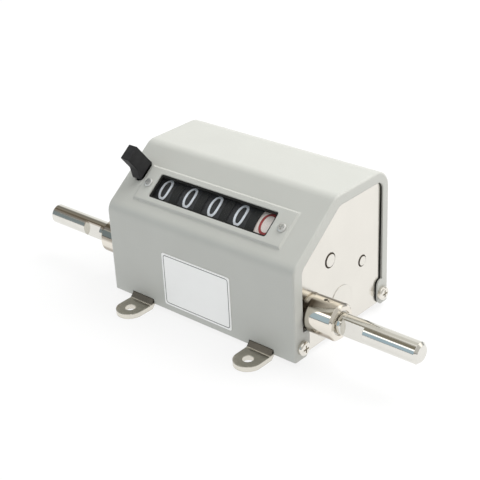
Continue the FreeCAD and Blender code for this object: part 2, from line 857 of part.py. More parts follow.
def make_straps():
    """Joggled straps under the base plate, each with a round-ended foot in front and behind."""
    over = size.overrun
    thick = size.strap_thick
    mitre = thick * size.joggle_mitre_share
    tip = FRONT - size.foot_hole_out - size.strap_width / 2
    bend = FRONT - size.foot_bend
    rise = bend + size.strap_rise
    points = [
        (tip, ZERO),
        (bend + mitre, ZERO),
        (rise + mitre, size.strap_rise),
        (-rise - mitre, size.strap_rise),
        (-bend - mitre, ZERO),
        (-tip, ZERO),
        (-tip, thick),
        (-bend, thick),
        (-rise, STRAP_TOP),
        (rise, STRAP_TOP),
        (bend, thick),
        (tip, thick),
    ]
    radius = size.strap_width / 2
    for side, sign in SIDES:
        centre = size.strap_spread * sign
        run = prism(side + "_strap_run", points, centre - radius, size.strap_width)
        hole_y = FRONT - size.foot_hole_out
        middle = box(side + "_strap_middle", (centre - radius, hole_y, ZERO),
                     (size.strap_width, -hole_y * 2, STRAP_TOP))
        ends = [rod(side + end + "_strap_end", radius, STRAP_TOP, (centre, y, ZERO), UPRIGHT)
                for end, y in (("_front", hole_y), ("_back", -hole_y))]
        outline = fuse(side + "_strap_outline", middle, *ends)
        deep = thick + over * 2
        holes = [rod(side + end + "_foot_hole", size.foot_hole_radius, deep, (centre, y, -over), UPRIGHT)
                 for end, y in (("_front", hole_y), ("_back", -hole_y))]
        holes += [rod(name + "_strap_hole", size.rivet_radius + size.seat_gap, deep,
                      (x, y, size.strap_rise - over), UPRIGHT)
                  for name, x, y in strap_rivet_places() if name.startswith(side)]
        blank = common(side + "_strap_blank", run, outline)
        node(side + "_foot_strap", cut(side + "_strap_cut", blank, *holes))


def make_strap_rivets():
    """Rivets through strap and base, flush below and with a flat head inside."""
    for name, x, y in strap_rivet_places():
        length = BASE_TOP - size.strap_rise
        shank = rod(name + "_shank", size.rivet_radius, length, (x, y, size.strap_rise), UPRIGHT)
        head = rod(name + "_head", size.rivet_head_radius, size.rivet_head, (x, y, BASE_TOP), UPRIGHT)
        node(name + "_strap_rivet", fuse(name + "_rivet", shank, head))


# Drive shaft and its bearings

def outward(sign, distance):
    """Place and rotation of a piece built outward along X, on one side of the shaft's line."""
    spot = (distance * sign, SHAFT_Y, SHAFT_Z)
    return (spot, UPRIGHT if sign > 0 else TURNED)


def make_bearings():
    """At each end a chamfered housing, necked beside the lip, the nut that holds it and the bush in its mouth."""
    over = size.overrun
    inward = size.plate + size.nut_thick
    stand = size.housing_end - PLATE_OUT
    neck_length = size.sheet + size.housing_neck_gap
    bore = size.bush_radius + size.seat_gap
    for side, sign in SIDES:
        barrel_length = stand - size.housing_chamfer
        neck = rod(side + "_neck", size.housing_neck_radius, barrel_length, (ZERO, ZERO, ZERO))
        barrel = rod(side + "_barrel", size.housing_radius, barrel_length - neck_length,
                     (neck_length, ZERO, ZERO))
        nose = taper(side + "_nose", (size.housing_radius, size.housing_radius - size.housing_chamfer),
                     size.housing_chamfer, (barrel_length, ZERO, ZERO))
        spigot = rod(side + "_spigot", size.spigot_radius, inward + over, (-inward, ZERO, ZERO))
        hole = rod(side + "_housing_bore", bore, inward + stand + over * 2, (-inward - over, ZERO, ZERO))
        mouth = rod(side + "_mouth", size.housing_mouth_radius, size.housing_mouth + over,
                    (stand - size.housing_mouth, ZERO, ZERO))
        oil_hole = rod(side + "_oil_hole", size.oil_hole_radius, size.housing_radius + over,
                       (size.oil_hole_in, ZERO, ZERO), UPRIGHT)
        whole = fuse(side + "_housing_whole", neck, barrel, nose, spigot)
        housing = cut(side + "_housing_cut", whole, hole, mouth, oil_hole)
        place(housing, *outward(sign, PLATE_OUT))
        node(side + "_bearing_housing", housing)
        nut = tube(side + "_nut", size.nut_radius, size.spigot_radius + size.seat_gap, size.nut_thick,
                   (-inward, ZERO, ZERO))
        node(side + "_housing_nut", place(nut, *outward(sign, PLATE_OUT)))
        bush = tube(side + "_bush", size.bush_radius, size.shaft_radius + size.running_gap,
                    inward + stand - size.housing_mouth, (-inward, ZERO, ZERO))
        node(side + "_bush", place(bush, *outward(sign, PLATE_OUT)))


def make_drive_shaft():
    """The through shaft, chamfered at its tips, with a relief ring and a milled flat beside each bearing."""
    over = size.overrun
    chamfer = size.shaft_chamfer
    small = size.shaft_radius - chamfer
    length = size.shaft_left + size.shaft_right - chamfer * 2
    core = rod("shaft_core", size.shaft_radius, length, (chamfer - size.shaft_left, ZERO, ZERO))
    left_tip = taper("shaft_left_tip", (small, size.shaft_radius), chamfer, (-size.shaft_left, ZERO, ZERO))
    right_tip = taper("shaft_right_tip", (size.shaft_radius, small), chamfer,
                      (size.shaft_right - chamfer, ZERO, ZERO))
    tools = []
    deep = size.flat_depth + over
    for name, start in (("left", -size.flat_left_start - size.flat_length), ("right", size.flat_right_start)):
        low = (start, -size.shaft_radius - over, -size.shaft_radius - over)
        tools.append(box(name + "_flat", low, (size.flat_length, deep, (size.shaft_radius + over) * 2)))
    for name, sign in SIDES:
        tools.append(end_pin(name + "_pin_hole", sign, size.end_pin_radius + size.seat_gap, ZERO, ZERO))
        start, width = reach(sign, size.relief_x, size.relief_x + size.relief_width)
        tools.append(tube(name + "_relief", size.shaft_radius + over, size.shaft_radius - size.relief_depth, width,
                          (start, ZERO, ZERO)))
    hub_middle = size.drive_gear_x + size.gear_width + size.gear_hub_length / 2
    hole_half = size.shaft_radius + over
    tools.append(rod("shaft_gear_pin_hole", size.gear_pin_radius + size.seat_gap, hole_half * 2,
                     (hub_middle, -hole_half, ZERO), ALONG_Y))
    shaft = cut("shaft_cut", fuse("shaft_whole", core, left_tip, right_tip), *tools)
    node("drive_shaft", place(shaft, (ZERO, SHAFT_Y, SHAFT_Z)))
    for name, sign in SIDES:
        node(name + "_end_pin", end_pin(name + "_end_pin", sign, size.end_pin_radius, SHAFT_Y, SHAFT_Z))


def end_pin(name, sign, radius, y, z):
    """A cross pin just outside a bearing, tilted from the upright."""
    half = size.shaft_radius + size.end_pin_stand
    spot = (size.end_pin_x * sign, y + half * sine(size.end_pin_angle), z - half * cosine(size.end_pin_angle))
    return rod(name, radius, half * 2, spot, Tilt(size.end_pin_angle))


# Toothed outlines, drawn about the wheel's axis in the YZ plane

def polar(radius, angle):
    """A point of the YZ plane from a radius and an angle in radians."""
    return Vector(0, radius * math.cos(angle), radius * math.sin(angle))


def arc(radius, first, last):
    """An arc about the wheel's axis."""
    return Part.Arc(polar(radius, first), polar(radius, (first + last) / 2), polar(radius, last)).toShape()


def toothed_plate(teeth, module, tip, root, phase, width, every=1):
    """A plate with involute teeth, the first at the phase in degrees; every says which teeth are kept."""
    pitch_radius = module * teeth / 2
    pressure = math.radians(size.pressure_angle.value)
    base_radius = pitch_radius * math.cos(pressure)
    half_pitch = math.pi / teeth / 2 - size.tooth_thinning.value / pitch_radius / 2

    def half_angle(radius):
        lean = math.acos(min(1.0, base_radius / radius))
        return half_pitch + (math.tan(pressure) - pressure) - (math.tan(lean) - lean)

    foot = max(root, base_radius)
    middle = (foot + tip) / 2
    edges = []
    kept = teeth // every
    step = 2 * math.pi / kept
    for index in range(kept):
        centre = math.radians(phase) + index * step
        rise = [polar(radius, centre - half_angle(radius)) for radius in (foot, middle, tip)]
        fall = [polar(radius, centre + half_angle(radius)) for radius in (tip, middle, foot)]
        low_start = polar(root, centre - half_angle(foot))
        low_end = polar(root, centre + half_angle(foot))
        if foot > root:
            edges.append(Part.makeLine(low_start, rise[0]))
        edges.append(Part.Arc(*rise).toShape())
        edges.append(arc(tip, centre - half_angle(tip), centre + half_angle(tip)))
        edges.append(Part.Arc(*fall).toShape())
        if foot > root:
            edges.append(Part.makeLine(fall[-1], low_end))
        edges.append(arc(root, centre + half_angle(foot), centre + step - half_angle(foot)))
    face = Part.Face(Part.Wire(edges))
    return face.extrude(X_AXIS * width)


def heart_plate():
    """A drum's heart-shaped cam, whose radius climbs evenly from low to high on both sides."""
    low, high = size.cam_low.value, size.cam_high.value
    phase = math.radians(size.train_angle.value)
    steps = 8
    halves = []
    for side in (1, -1):
        points = []
        for index in range(steps + 1):
            share = index / steps
            points.append(polar(low + (high - low) * share, phase + side * math.pi * share))
        curve = Part.BSplineCurve()
        curve.interpolate(points)
        halves.append(curve.toShape())
    face = Part.Face(Part.Wire(halves))
    return face.extrude(X_AXIS * size.cam_width.value)


def make_drive_gear():
    """The small gear on the shaft, with its hub and cross pin."""
    module = size.gear_module.value
    teeth = int(size.drive_teeth.value)
    pitch_radius = module * teeth / 2
    plate = toothed_plate(teeth, module, pitch_radius + module * size.stub_share.value,
                          pitch_radius - module * size.root_share.value, size.train_angle.value,
                          size.gear_width.value)
    toothed = feature("drive_gear_teeth", plate, (ZERO, ZERO, ZERO))
    hub = rod("drive_gear_hub", size.gear_hub_radius, size.gear_hub_length, (size.gear_width, ZERO, ZERO))
    hub_end = size.gear_width + size.gear_hub_length
    bore = rod("drive_gear_bore", size.shaft_radius + size.seat_gap, hub_end + size.overrun * 2,
               (-size.overrun, ZERO, ZERO))
    middle = size.gear_width + size.gear_hub_length / 2
    pin_hole = rod("drive_gear_pin_hole", size.gear_pin_radius + size.seat_gap,
                   (size.gear_hub_radius + size.overrun) * 2,
                   (middle, -size.gear_hub_radius - size.overrun, ZERO), ALONG_Y)
    gear = cut("drive_gear_cut", fuse("drive_gear_whole", toothed, hub), bore, pin_hole)
    node("drive_gear", place(gear, (size.drive_gear_x, SHAFT_Y, SHAFT_Z)))
    pin_spot = (size.drive_gear_x + middle, SHAFT_Y - size.gear_hub_radius, SHAFT_Z)
    node("drive_gear_pin", rod("gear_pin", size.gear_pin_radius, size.gear_hub_radius * 2, pin_spot, ALONG_Y))


# Number drums on their axle

def drum_x(index):
    """The middle of a drum; the units are the first."""
    return size.units_x - size.drum_pitch * index


def drum_key(name, end, gap, spare):
    """The key of the units gear, or its slot in the drum, up to a face of the drum's hub."""
    low = (end - size.key_length - gap, -size.key_width / 2 - gap, size.key_low - gap)
    height = size.key_high - size.key_low + gap * 2
    return box(name, low, (size.key_length + gap + spare, size.key_width + gap * 2, height))


def make_drums():
    """Five hollow drums with a carry disc and a heart cam; all but the units have a gear."""
    over = size.overrun
    module = size.drum_module.value
    teeth = int(size.drum_teeth.value)
    pitch_radius = module * teeth / 2
    for index, name in enumerate(DRUM_NAMES):
        solid = rod(name + "_rim", size.drum_radius, size.drum_rim_width, (-DRUM_HALF, ZERO, ZERO))
        inside = size.drum_radius - size.drum_wall
        depth = size.drum_rim_width - size.web + over
        hollow = rod(name + "_hollow", inside, depth, (-DRUM_HALF - over, ZERO, ZERO))
        rim = cut(name + "_shell", solid, hollow)
        hub = rod(name + "_hub", size.hub_radius, CAM_SIDE + GEAR_SIDE, (-CAM_SIDE, ZERO, ZERO))
        disc = rod(name + "_disc", size.disc_radius, size.disc_width, (-DISC_SIDE, ZERO, ZERO))
        notches = []
        for place_index in (-1, 0, 1):
            angle = size.pinion_angle + size.carry_notch_angle * place_index
            spot = (-DISC_SIDE - over, size.disc_radius * cosine(angle), size.disc_radius * sine(angle))
            notches.append(rod(name + "_notch", size.carry_notch_radius, size.disc_width + over * 2, spot))
        cam = feature(name + "_cam", heart_plate(), (-CAM_SIDE, ZERO, ZERO))
        pieces = [rim, hub, cut(name + "_carry", disc, *notches), cam]
        if index > 0:
            plate = toothed_plate(teeth, module, pitch_radius + module * size.drum_stub_share.value,
                                  pitch_radius - module * size.root_share.value, size.pinion_angle.value,
                                  size.drum_gear_width.value)
            pieces.append(feature(name + "_gear", plate, (DRUM_HALF, ZERO, ZERO)))
        tools = [rod(name + "_bore", size.axle_radius + size.running_gap, CAM_SIDE + GEAR_SIDE + over * 2,
                     (-CAM_SIDE - over, ZERO, ZERO))]
        if index == 0:
            tools.append(drum_key("units_key_slot", GEAR_SIDE, size.seat_gap, over))
        drum = cut(name + "_drum_cut", fuse(name + "_drum_whole", *pieces), *tools)
        node(name + "_drum", place(drum, (drum_x(index), AXLE_Y, AXLE_Z)))


def units_gear_span():
    """Where the units gear starts, how wide it is, and where its hub ends."""
    start = size.drive_gear_x + size.gear_side_gap
    width = size.gear_width - size.gear_side_gap * 2
    return start, width, start + width + size.units_hub_tail


def make_units_gear():
    """The large gear that the shaft drives, keyed to the units drum."""
    over = size.overrun
    module = size.gear_module.value
    teeth = int(size.units_teeth.value)
    pitch_radius = module * teeth / 2
    start, width, hub_end = units_gear_span()
    gap_phase = size.train_angle.value + FULL_TURN / 2 + FULL_TURN / teeth / 2
    plate = toothed_plate(teeth, module, pitch_radius + module * size.stub_share.value,
                          pitch_radius - module * size.root_share.value, gap_phase, width.value)
    drum_end = size.units_x + GEAR_SIDE
    toothed = feature("units_gear_teeth", plate, (start - drum_end, ZERO, ZERO))
    hub = rod("units_gear_hub", size.hub_radius, hub_end - drum_end, (ZERO, ZERO, ZERO))
    key = drum_key("units_key", ZERO, ZERO, over)
    bore = rod("units_gear_bore", size.axle_radius + size.running_gap, hub_end - drum_end + over * 2,
               (-over, ZERO, ZERO))
    gear = cut("units_gear_cut", fuse("units_gear_whole", toothed, hub, key), bore)
    node("units_gear", place(gear, (drum_end, AXLE_Y, AXLE_Z)))


def make_pinions():
    """Four transfer pinions: every tooth meets the drum's gear, every second one the carry disc."""
    module = size.drum_module.value
    teeth = int(size.pinion_teeth.value)
    pitch_radius = module * teeth / 2
    tip = pitch_radius + module * size.stub_share.value
    root = pitch_radius - module * size.root_share.value
    phase = size.pinion_angle.value + FULL_TURN / 2 + FULL_TURN / teeth / 2
    width = (ZONE - size.pinion_inset * 2) / 2
    hub_length = size.drum_pitch - size.side_gap
    for index in range(1, len(DRUM_NAMES)):
        name = "transfer_pinion_" + str(index)
        wide = feature(name + "_wide", toothed_plate(teeth, module, tip, root, phase, width.value),
                       (size.pinion_inset, ZERO, ZERO))
        narrow = feature(name + "_narrow", toothed_plate(teeth, module, tip, root, phase, width.value, 2),
                         (size.pinion_inset + width, ZERO, ZERO))
        hub = rod(name + "_hub", size.pinion_hub_radius, hub_length, (-DRUM_HALF, ZERO, ZERO))
        bore = rod(name + "_bore", size.pinion_axle_radius + size.running_gap, hub_length + size.overrun * 2,
                   (-DRUM_HALF - size.overrun, ZERO, ZERO))
        pinion = cut(name + "_cut", fuse(name + "_whole", wide, narrow, hub), bore)
        node(name, place(pinion, (drum_x(index) + DRUM_HALF, PINION_Y, PINION_Z)))


def make_axles():
    """The drum axle and the pinion axle, with the spacers that keep their wheels in place."""
    end = PLATE_OUT + size.axle_stand
    node("drum_axle", rod("drum_axle_rod", size.axle_radius, end * 2, (-end, AXLE_Y, AXLE_Z)))
    node("pinion_axle", rod("pinion_axle_rod", size.pinion_axle_radius, end * 2, (-end, PINION_Y, PINION_Z)))
    gap = size.side_gap
    last = len(DRUM_NAMES) - 1
    lever_half = size.lever_hub_length / 2
    drum_spans = (
        ("left_outer_spacer", -PLATE_IN, -size.lever_x - lever_half - gap),
        ("left_inner_spacer", -size.lever_x + lever_half + gap, drum_x(last) - CAM_SIDE - gap),
        ("right_spacer", units_gear_span()[2] + gap, PLATE_IN),
    )
    pinion_spans = (
        ("left_pinion_spacer", -PLATE_IN, drum_x(last) - gap),
        ("right_pinion_spacer", drum_x(1) + size.drum_pitch, PLATE_IN),
    )
    for spans, radius, y, z in ((drum_spans, size.axle_radius, AXLE_Y, AXLE_Z),
                                (pinion_spans, size.pinion_axle_radius, PINION_Y, PINION_Z)):
        outer = radius + size.spacer_wall
        bore = radius + size.seat_gap
        for name, start, finish in spans:
            node(name, tube(name, outer, bore, finish - start, (start, y, z)))


# Reset lever and comb

def facing(name, spot, angle, low, extent):
    """A block in a frame whose Y points at an angle of the YZ plane: low is its corner's X and its lift."""
    start, lift = low
    y = spot[0] - lift * sine(angle)
    z = spot[1] + lift * cosine(angle)
    return box(name, (start, y, z), extent, Tilt(angle))


def make_reset_lever():
    """The lever's arm on the drum axle, with the lobe that swings the comb, and its knob."""
    thick = size.lever_thick
    x = -size.lever_x - thick / 2
    hub = rod("lever_hub", size.lever_hub_radius, size.lever_hub_length,
              (-size.lever_x - size.lever_hub_length / 2, AXLE_Y, AXLE_Z))
    base_low = AXLE_ALONG - size.lever_base_half
    stem_high = size.stem_low + size.stem_width
    base = box("lever_base_block", slope_spot(x, base_low, AXLE_OUT),
               (thick, stem_high - base_low, size.lever_base), ON_SLOPE)
    stem_top = size.knob_lift + size.knob_seat
    stem = box("lever_stem", slope_spot(x, size.stem_low, AXLE_OUT),
               (thick, size.stem_width, stem_top - AXLE_OUT), ON_SLOPE)
    lobe_angle = COMB_TO_AXLE + FULL_TURN / 2 - size.lever_travel / 2
    lobe = facing("lever_lobe", (AXLE_Y, AXLE_Z), lobe_angle,
                  (x, -size.lobe_gap / 2 - size.lobe_width), (thick, size.lobe_reach, size.lobe_width))
    bore = rod("lever_bore", size.axle_radius + size.running_gap, size.lever_hub_length + size.overrun * 2,
               (-size.lever_x - size.lever_hub_length / 2 - size.overrun, AXLE_Y, AXLE_Z))
    node("reset_arm", cut("reset_arm_cut", fuse("reset_arm_whole", hub, base, stem, lobe), bore))
    knob_start = -size.lever_x - size.knob_width / 2
    corners = (
        (size.knob_foot_low, size.knob_lift),
        (size.knob_waist_low, size.knob_waist),
        (size.knob_top_low, size.knob_top),
        (size.knob_top_high, size.knob_top),
        (size.knob_foot_high, size.knob_lift),
    )
    outline = [slope_spot(ZERO, along, out)[1:] for along, out in corners]
    block = prism("knob_block", outline, knob_start, size.knob_width)
    rounded = round_edges("knob_rounded", block, size.knob_round, lambda edge: True)
    seat = size.seat_gap
    pocket = box("knob_pocket", slope_spot(x - seat, size.stem_low - seat, ZERO),
                 (thick + seat * 2, size.stem_width + seat * 2, stem_top + seat), ON_SLOPE)
    node("reset_knob", cut("reset_knob_cut", rounded, pocket))


def make_reset_comb():
    """The comb: a rocking shaft with a finger beside each drum's cam and a crank beside the lever."""
    end = PLATE_IN + size.rod_end
    spot = (COMB_Y, COMB_Z)
    pieces = [rod("comb_shaft", size.comb_radius, end * 2, (-end, COMB_Y, COMB_Z))]
    for index, name in enumerate(DRUM_NAMES):
        x = drum_x(index) - DISC_SIDE - size.cam_width / 2 - size.finger_thick / 2
        pieces.append(facing(name + "_finger", spot, COMB_TO_AXLE + FINGER_REST, (x, ZERO),
                             (size.finger_thick, size.finger_length, size.finger_width)))
    crank_low = (-size.lever_x - size.lever_thick / 2, -size.lobe_gap / 2 - size.crank_width)
    pieces.append(facing("comb_crank", spot, COMB_TO_AXLE + COMB_TRAVEL / 2, crank_low,
                         (size.lever_thick, size.crank_reach, size.crank_width)))
    node("reset_comb", fuse("reset_comb_whole", *pieces))


def tangent_arc(start, corner, finish):
    """The arc between two points whose end tangents meet at a corner."""
    share = (finish - start).Length / (corner - start).Length
    middle = (start + corner * share + finish) * (1 / (share + 2))
    return Part.Arc(start, middle, finish).toShape()


def coil_path(radius, pitch, turns):
    """A coil about the Z axis: each quarter turn is two arcs that share a tangent."""
    def spot(angle):
        return Vector(radius * math.cos(angle), radius * math.sin(angle), pitch * angle / (2 * math.pi))

    def way(angle):
        return Vector(-radius * math.sin(angle), radius * math.cos(angle), pitch / (2 * math.pi)).normalize()

    edges = []
    quarter = math.pi / 2
    for index in range(turns * 4):
        first, last = quarter * index, quarter * (index + 1)
        start, finish = spot(first), spot(last)
        gap = finish - start
        both = way(first) + way(last)
        bend = both.dot(both) - 4
        pull = gap.dot(both)
        stretch = (pull - math.sqrt(pull * pull - bend * gap.dot(gap))) / bend
        out_corner = start + way(first) * stretch
        in_corner = finish - way(last) * stretch
        meeting = (out_corner + in_corner) * 0.5
        edges.append(tangent_arc(start, out_corner, meeting))
        edges.append(tangent_arc(meeting, in_corner, finish))
    return Part.Wire(edges), spot(0), way(0)


def make_reset_spring():
    """The return spring, coiled about the comb's shaft beside the left plate."""
    wire = size.spring_wire.value / 2
    turns = int(size.spring_turns.value)
    path, start, way = coil_path(size.spring_radius.value, size.spring_pitch.value, turns)
    section = Part.Wire(Part.makeCircle(wire, start, way))
    coil = path.makePipeShell([section], True, False)
    begin = size.side_gap + size.spring_wire / 2 - PLATE_IN
    node("reset_spring", feature("reset_spring_coil", coil, (begin, COMB_Y, COMB_Z), ALONG_X))


# Window, screws and the bare name plate

def make_window():
    """The lens under the sheet and the gasket round the opening."""
    low = slope_spot(-size.lens_reach, size.window_low - size.lens_margin, -size.sheet - size.lens_thick)
    length = size.window_high - size.window_low + size.lens_margin * 2
    lens = box("lens_block", low, (size.lens_reach * 2, length, size.lens_thick), ON_SLOPE)
    deep = size.sheet * 3
    holes = [rod(side + "_lens_hole", size.window_shank_radius + size.seat_gap, deep,
                 slope_spot(size.window_screw_x * sign, size.window_screw_along, -deep), ON_SLOPE)
             for side, sign in SIDES]
    node("window_lens", cut("lens_cut", lens, *holes))
    frame = window_block("gasket_outside", size.seat_gap, -size.sheet, size.gasket_thick)
    deep = size.overrun + size.gasket_thick
    inside = window_block("gasket_inside", size.gasket_width, -size.sheet - size.overrun, deep + size.overrun)
    node("window_gasket", cut("gasket_cut", frame, inside))


def cross_recess(name, width, depth, span, top):
    """Two crossed slots for a screwdriver, built downward from a top face along Z."""
    first = box(name + "_first", (-span, -width / 2, top - depth), (span * 2, width, depth + size.overrun))
    second = box(name + "_second", (-width / 2, -span, top - depth), (width, span * 2, depth + size.overrun))
    return fuse(name, first, second)


def screw(name, radii, lengths, ease, cross):
    """A pan-head screw along Z with its head above the origin."""
    head_radius, shank_radius = radii
    head_height, shank_length = lengths
    head = rod(name + "_head", head_radius, head_height, (ZERO, ZERO, ZERO), UPRIGHT)
    top = head_height.value
    pan = round_edges(name + "_pan", head, ease,
                      lambda edge: len(edge.Vertexes) == 1 and abs(edge.Vertexes[0].Z - top) < CLOSE)
    sunk = head_height / 4
    shank = rod(name + "_shank", shank_radius, shank_length + sunk, (ZERO, ZERO, -shank_length), UPRIGHT)
    recess = cross_recess(name + "_cross", cross[0], cross[1], head_radius * size.cross_share, head_height)
    return fuse(name + "_body", pan, shank), recess


def make_cover_screws():
    """The four screws of the end tabs."""
    for name, sign, y in tab_screws():
        full, recess = screw(name + "_screw", (size.screw_head_radius, size.screw_radius),
                             (size.screw_head, size.screw_length), size.screw_head_round,
                             (size.cross_width, size.cross_depth))
        made = cut(name + "_screw_cut", full, recess)
        turn = Rotation(Y_AXIS, 90 * sign)
        node(name + "_cover_screw", place(made, (HALF_LENGTH * sign, y, BASE + size.tab_screw_up), turn))


def make_window_screws():
    """The two screws beside the window, with a riveted tail under the lens."""
    for name, sign in SIDES:
        under = size.panel_rise + size.sheet + size.lens_thick
        full, recess = screw(name + "_window_screw", (size.window_head_radius, size.window_shank_radius),
                             (size.window_head, under), size.window_head_round,
                             (size.window_cross_width, size.window_cross_depth))
        tail = rod(name + "_window_tail", size.window_tail_radius, size.window_tail,
                   (ZERO, ZERO, -under - size.window_tail), UPRIGHT)
        made = cut(name + "_window_screw_cut", fuse(name + "_window_screw_whole", full, tail), recess)
        spot = slope_spot(size.window_screw_x * sign, size.window_screw_along, size.panel_rise)
        node(name + "_window_screw", place(made, spot, ON_SLOPE))


def make_name_plate():
    """A thin bare plate on the front wall."""
    low = (-size.plate_sign_left, FRONT - size.plate_sign_thick, BASE + size.plate_sign_low)
    extent = (size.plate_sign_left + size.plate_sign_right, size.plate_sign_thick,
              size.plate_sign_high - size.plate_sign_low)
    block = box("name_plate_block", low, extent)
    corner = size.plate_sign_corner
    node("name_plate", round_edges("name_plate_round", block, corner, lambda edge: runs_along(edge, Y_AXIS)))


def check_document():
    """Stop if an object failed or a node has no sound solid."""
    failed = [item.Name for item in doc.Objects if {"Invalid", "Error"} & set(item.State)]
    if failed:
        raise RuntimeError("failed objects: " + ", ".join(failed))
    for name, piece in nodes.items():
        shape = piece.Shape
        if shape.isNull() or not shape.isValid() or not shape.Solids:
            raise RuntimeError("no sound shape: " + name)


def main():
    """Build every piece, check the document and write one file per node."""
    make_cover()
    make_side_plates()
    make_base_plate()
    make_tie_rods()
    make_straps()
    make_strap_rivets()
    make_bearings()
    make_drive_shaft()
    make_drive_gear()
    make_drums()
    make_units_gear()
    make_pinions()
    make_axles()
    make_reset_lever()
    make_reset_comb()
    make_reset_spring()
    make_window()
    make_cover_screws()
    make_window_screws()
    make_name_plate()
    doc.recompute()
    check_document()
    os.makedirs(PARTS_FOLDER, exist_ok=True)
    for name, piece in nodes.items():
        piece.Shape.exportStep(os.path.join(PARTS_FOLDER, name + ".step"))
        print(name, len(piece.Shape.Solids), round(piece.Shape.Volume, 2))
    print("nodes", len(nodes), "comb ratio", -COMB_TRAVEL.value / size.lever_travel.value)


main()
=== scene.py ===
import json
import logging
import math
from dataclasses import dataclass
from enum import Enum
from functools import reduce

import bpy
import numpy as np
from mathutils import Matrix, Vector


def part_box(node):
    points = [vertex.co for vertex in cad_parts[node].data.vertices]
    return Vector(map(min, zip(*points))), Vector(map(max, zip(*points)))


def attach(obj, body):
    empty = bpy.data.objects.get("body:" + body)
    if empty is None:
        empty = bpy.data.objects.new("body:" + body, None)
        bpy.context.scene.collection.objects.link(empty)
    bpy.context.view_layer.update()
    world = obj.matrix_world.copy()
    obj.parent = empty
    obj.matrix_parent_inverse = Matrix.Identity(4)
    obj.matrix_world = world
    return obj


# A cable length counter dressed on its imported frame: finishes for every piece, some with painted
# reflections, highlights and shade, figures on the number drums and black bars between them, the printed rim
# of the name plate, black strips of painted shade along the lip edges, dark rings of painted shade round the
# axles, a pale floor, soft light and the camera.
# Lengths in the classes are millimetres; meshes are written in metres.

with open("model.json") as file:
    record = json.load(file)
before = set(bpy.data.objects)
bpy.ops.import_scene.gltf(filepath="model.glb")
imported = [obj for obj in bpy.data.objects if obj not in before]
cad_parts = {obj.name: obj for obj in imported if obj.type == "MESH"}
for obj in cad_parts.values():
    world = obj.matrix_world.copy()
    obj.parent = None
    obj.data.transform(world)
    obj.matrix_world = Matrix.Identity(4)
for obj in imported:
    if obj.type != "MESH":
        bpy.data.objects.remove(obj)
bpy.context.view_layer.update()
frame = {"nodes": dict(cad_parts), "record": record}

LOG = logging.getLogger("length_counter")
MM = 0.001
SHARP_ANGLE = math.radians(38.0)

# The nearest that a ribbon's row comes to its tip, as a share of half its width
TIP_SHARE = 0.02
# The cosines of the turn between a rounded and a plain normal where an edge is fully in and out
EDGE_TURN = (0.90, 0.995)
BEVEL_SAMPLES = 6
# The wave pattern's spacing at a scale of one
WAVE_LENGTH = math.pi / 10.0
WAVE_DISTORTION = 0.4

Color = tuple[float, float, float]
Point = tuple[float, float, float]
Flat = tuple[float, float]

BLACK: Color = (0.0, 0.0, 0.0)
WHITE: Color = (1.0, 1.0, 1.0)


class Side(Enum):
    """The two ends of the body, by the sign of X."""

    LEFT = -1.0
    RIGHT = 1.0


class Lay(Enum):
    """The way in which fine lines run on a metal: the stretch of a pattern along X, Y and Z."""

    NONE = (1.0, 1.0, 1.0)
    ALONG_Y = (1.0, 0.03, 1.0)
    ALONG_Z = (1.0, 1.0, 0.03)
    ROUND_X = (1.0, 0.05, 0.05)


# Meshes from whole arrays


@dataclass
class Patch:
    """Points with four-sided and three-sided faces on them."""

    points: np.ndarray
    quads: np.ndarray
    triangles: np.ndarray

    def volume(self) -> float:
        """The sum of the triple product of each triangle's corners.

        Returns:
            Six times the enclosed volume, which is negative when the faces point inward.
        """
        halves = [self.triangles, self.quads[:, [0, 1, 2]], self.quads[:, [0, 2, 3]]]
        corners = self.points[np.concatenate(halves)]
        return float(np.einsum("ij,ij->i", corners[:, 0], np.cross(corners[:, 1], corners[:, 2])).sum())

    def outward(self) -> "Patch":
        """Turn the faces so that they point out of the volume.

        Returns:
            The patch itself, or one with every face's corners in the other order.
        """
        if self.volume() < 0.0:
            return Patch(self.points, self.quads[:, ::-1], self.triangles[:, ::-1])
        return self


def grid_patch(points: np.ndarray, wrap_rows: bool = False, wrap_columns: bool = False,
               capped: bool = False) -> Patch:
    """A patch over a grid of points.

    Cell (i, j) is the face of points (i, j), (i + 1, j), (i + 1, j + 1) and (i, j + 1); a wrapped direction
    counts its lines modulo their number. A cap is a fan from the mean of the first or the last row.

    Args:
        points: an array of rows, columns and 3 coordinates.
        wrap_rows: whether the last row joins the first.
        wrap_columns: whether the last column joins the first.
        capped: whether the first and the last row are closed.

    Returns:
        The patch.
    """
    rows, columns = points.shape[:2]
    index = np.arange(rows * columns).reshape(rows, columns)
    row = np.arange(rows if wrap_rows else rows - 1)
    column = np.arange(columns if wrap_columns else columns - 1)
    row, column = np.meshgrid(row, column, indexing="ij")
    next_row, next_column = (row + 1) % rows, (column + 1) % columns
    quads = np.stack([index[row, column], index[next_row, column], index[next_row, next_column],
                      index[row, next_column]], axis=-1).reshape(-1, 4)
    flat = points.reshape(-1, 3)
    triangles = np.empty((0, 3), dtype=int)
    if capped:
        middles = np.stack([points[0].mean(axis=0), points[-1].mean(axis=0)])
        first, last = index[0], index[-1]
        low = np.stack([np.full(columns, flat.shape[0]), first, np.roll(first, -1)], axis=-1)
        high = np.stack([np.full(columns, flat.shape[0] + 1), np.roll(last, -1), last], axis=-1)
        triangles = np.concatenate([low, high])
        flat = np.concatenate([flat, middles])
    return Patch(flat, quads, triangles)


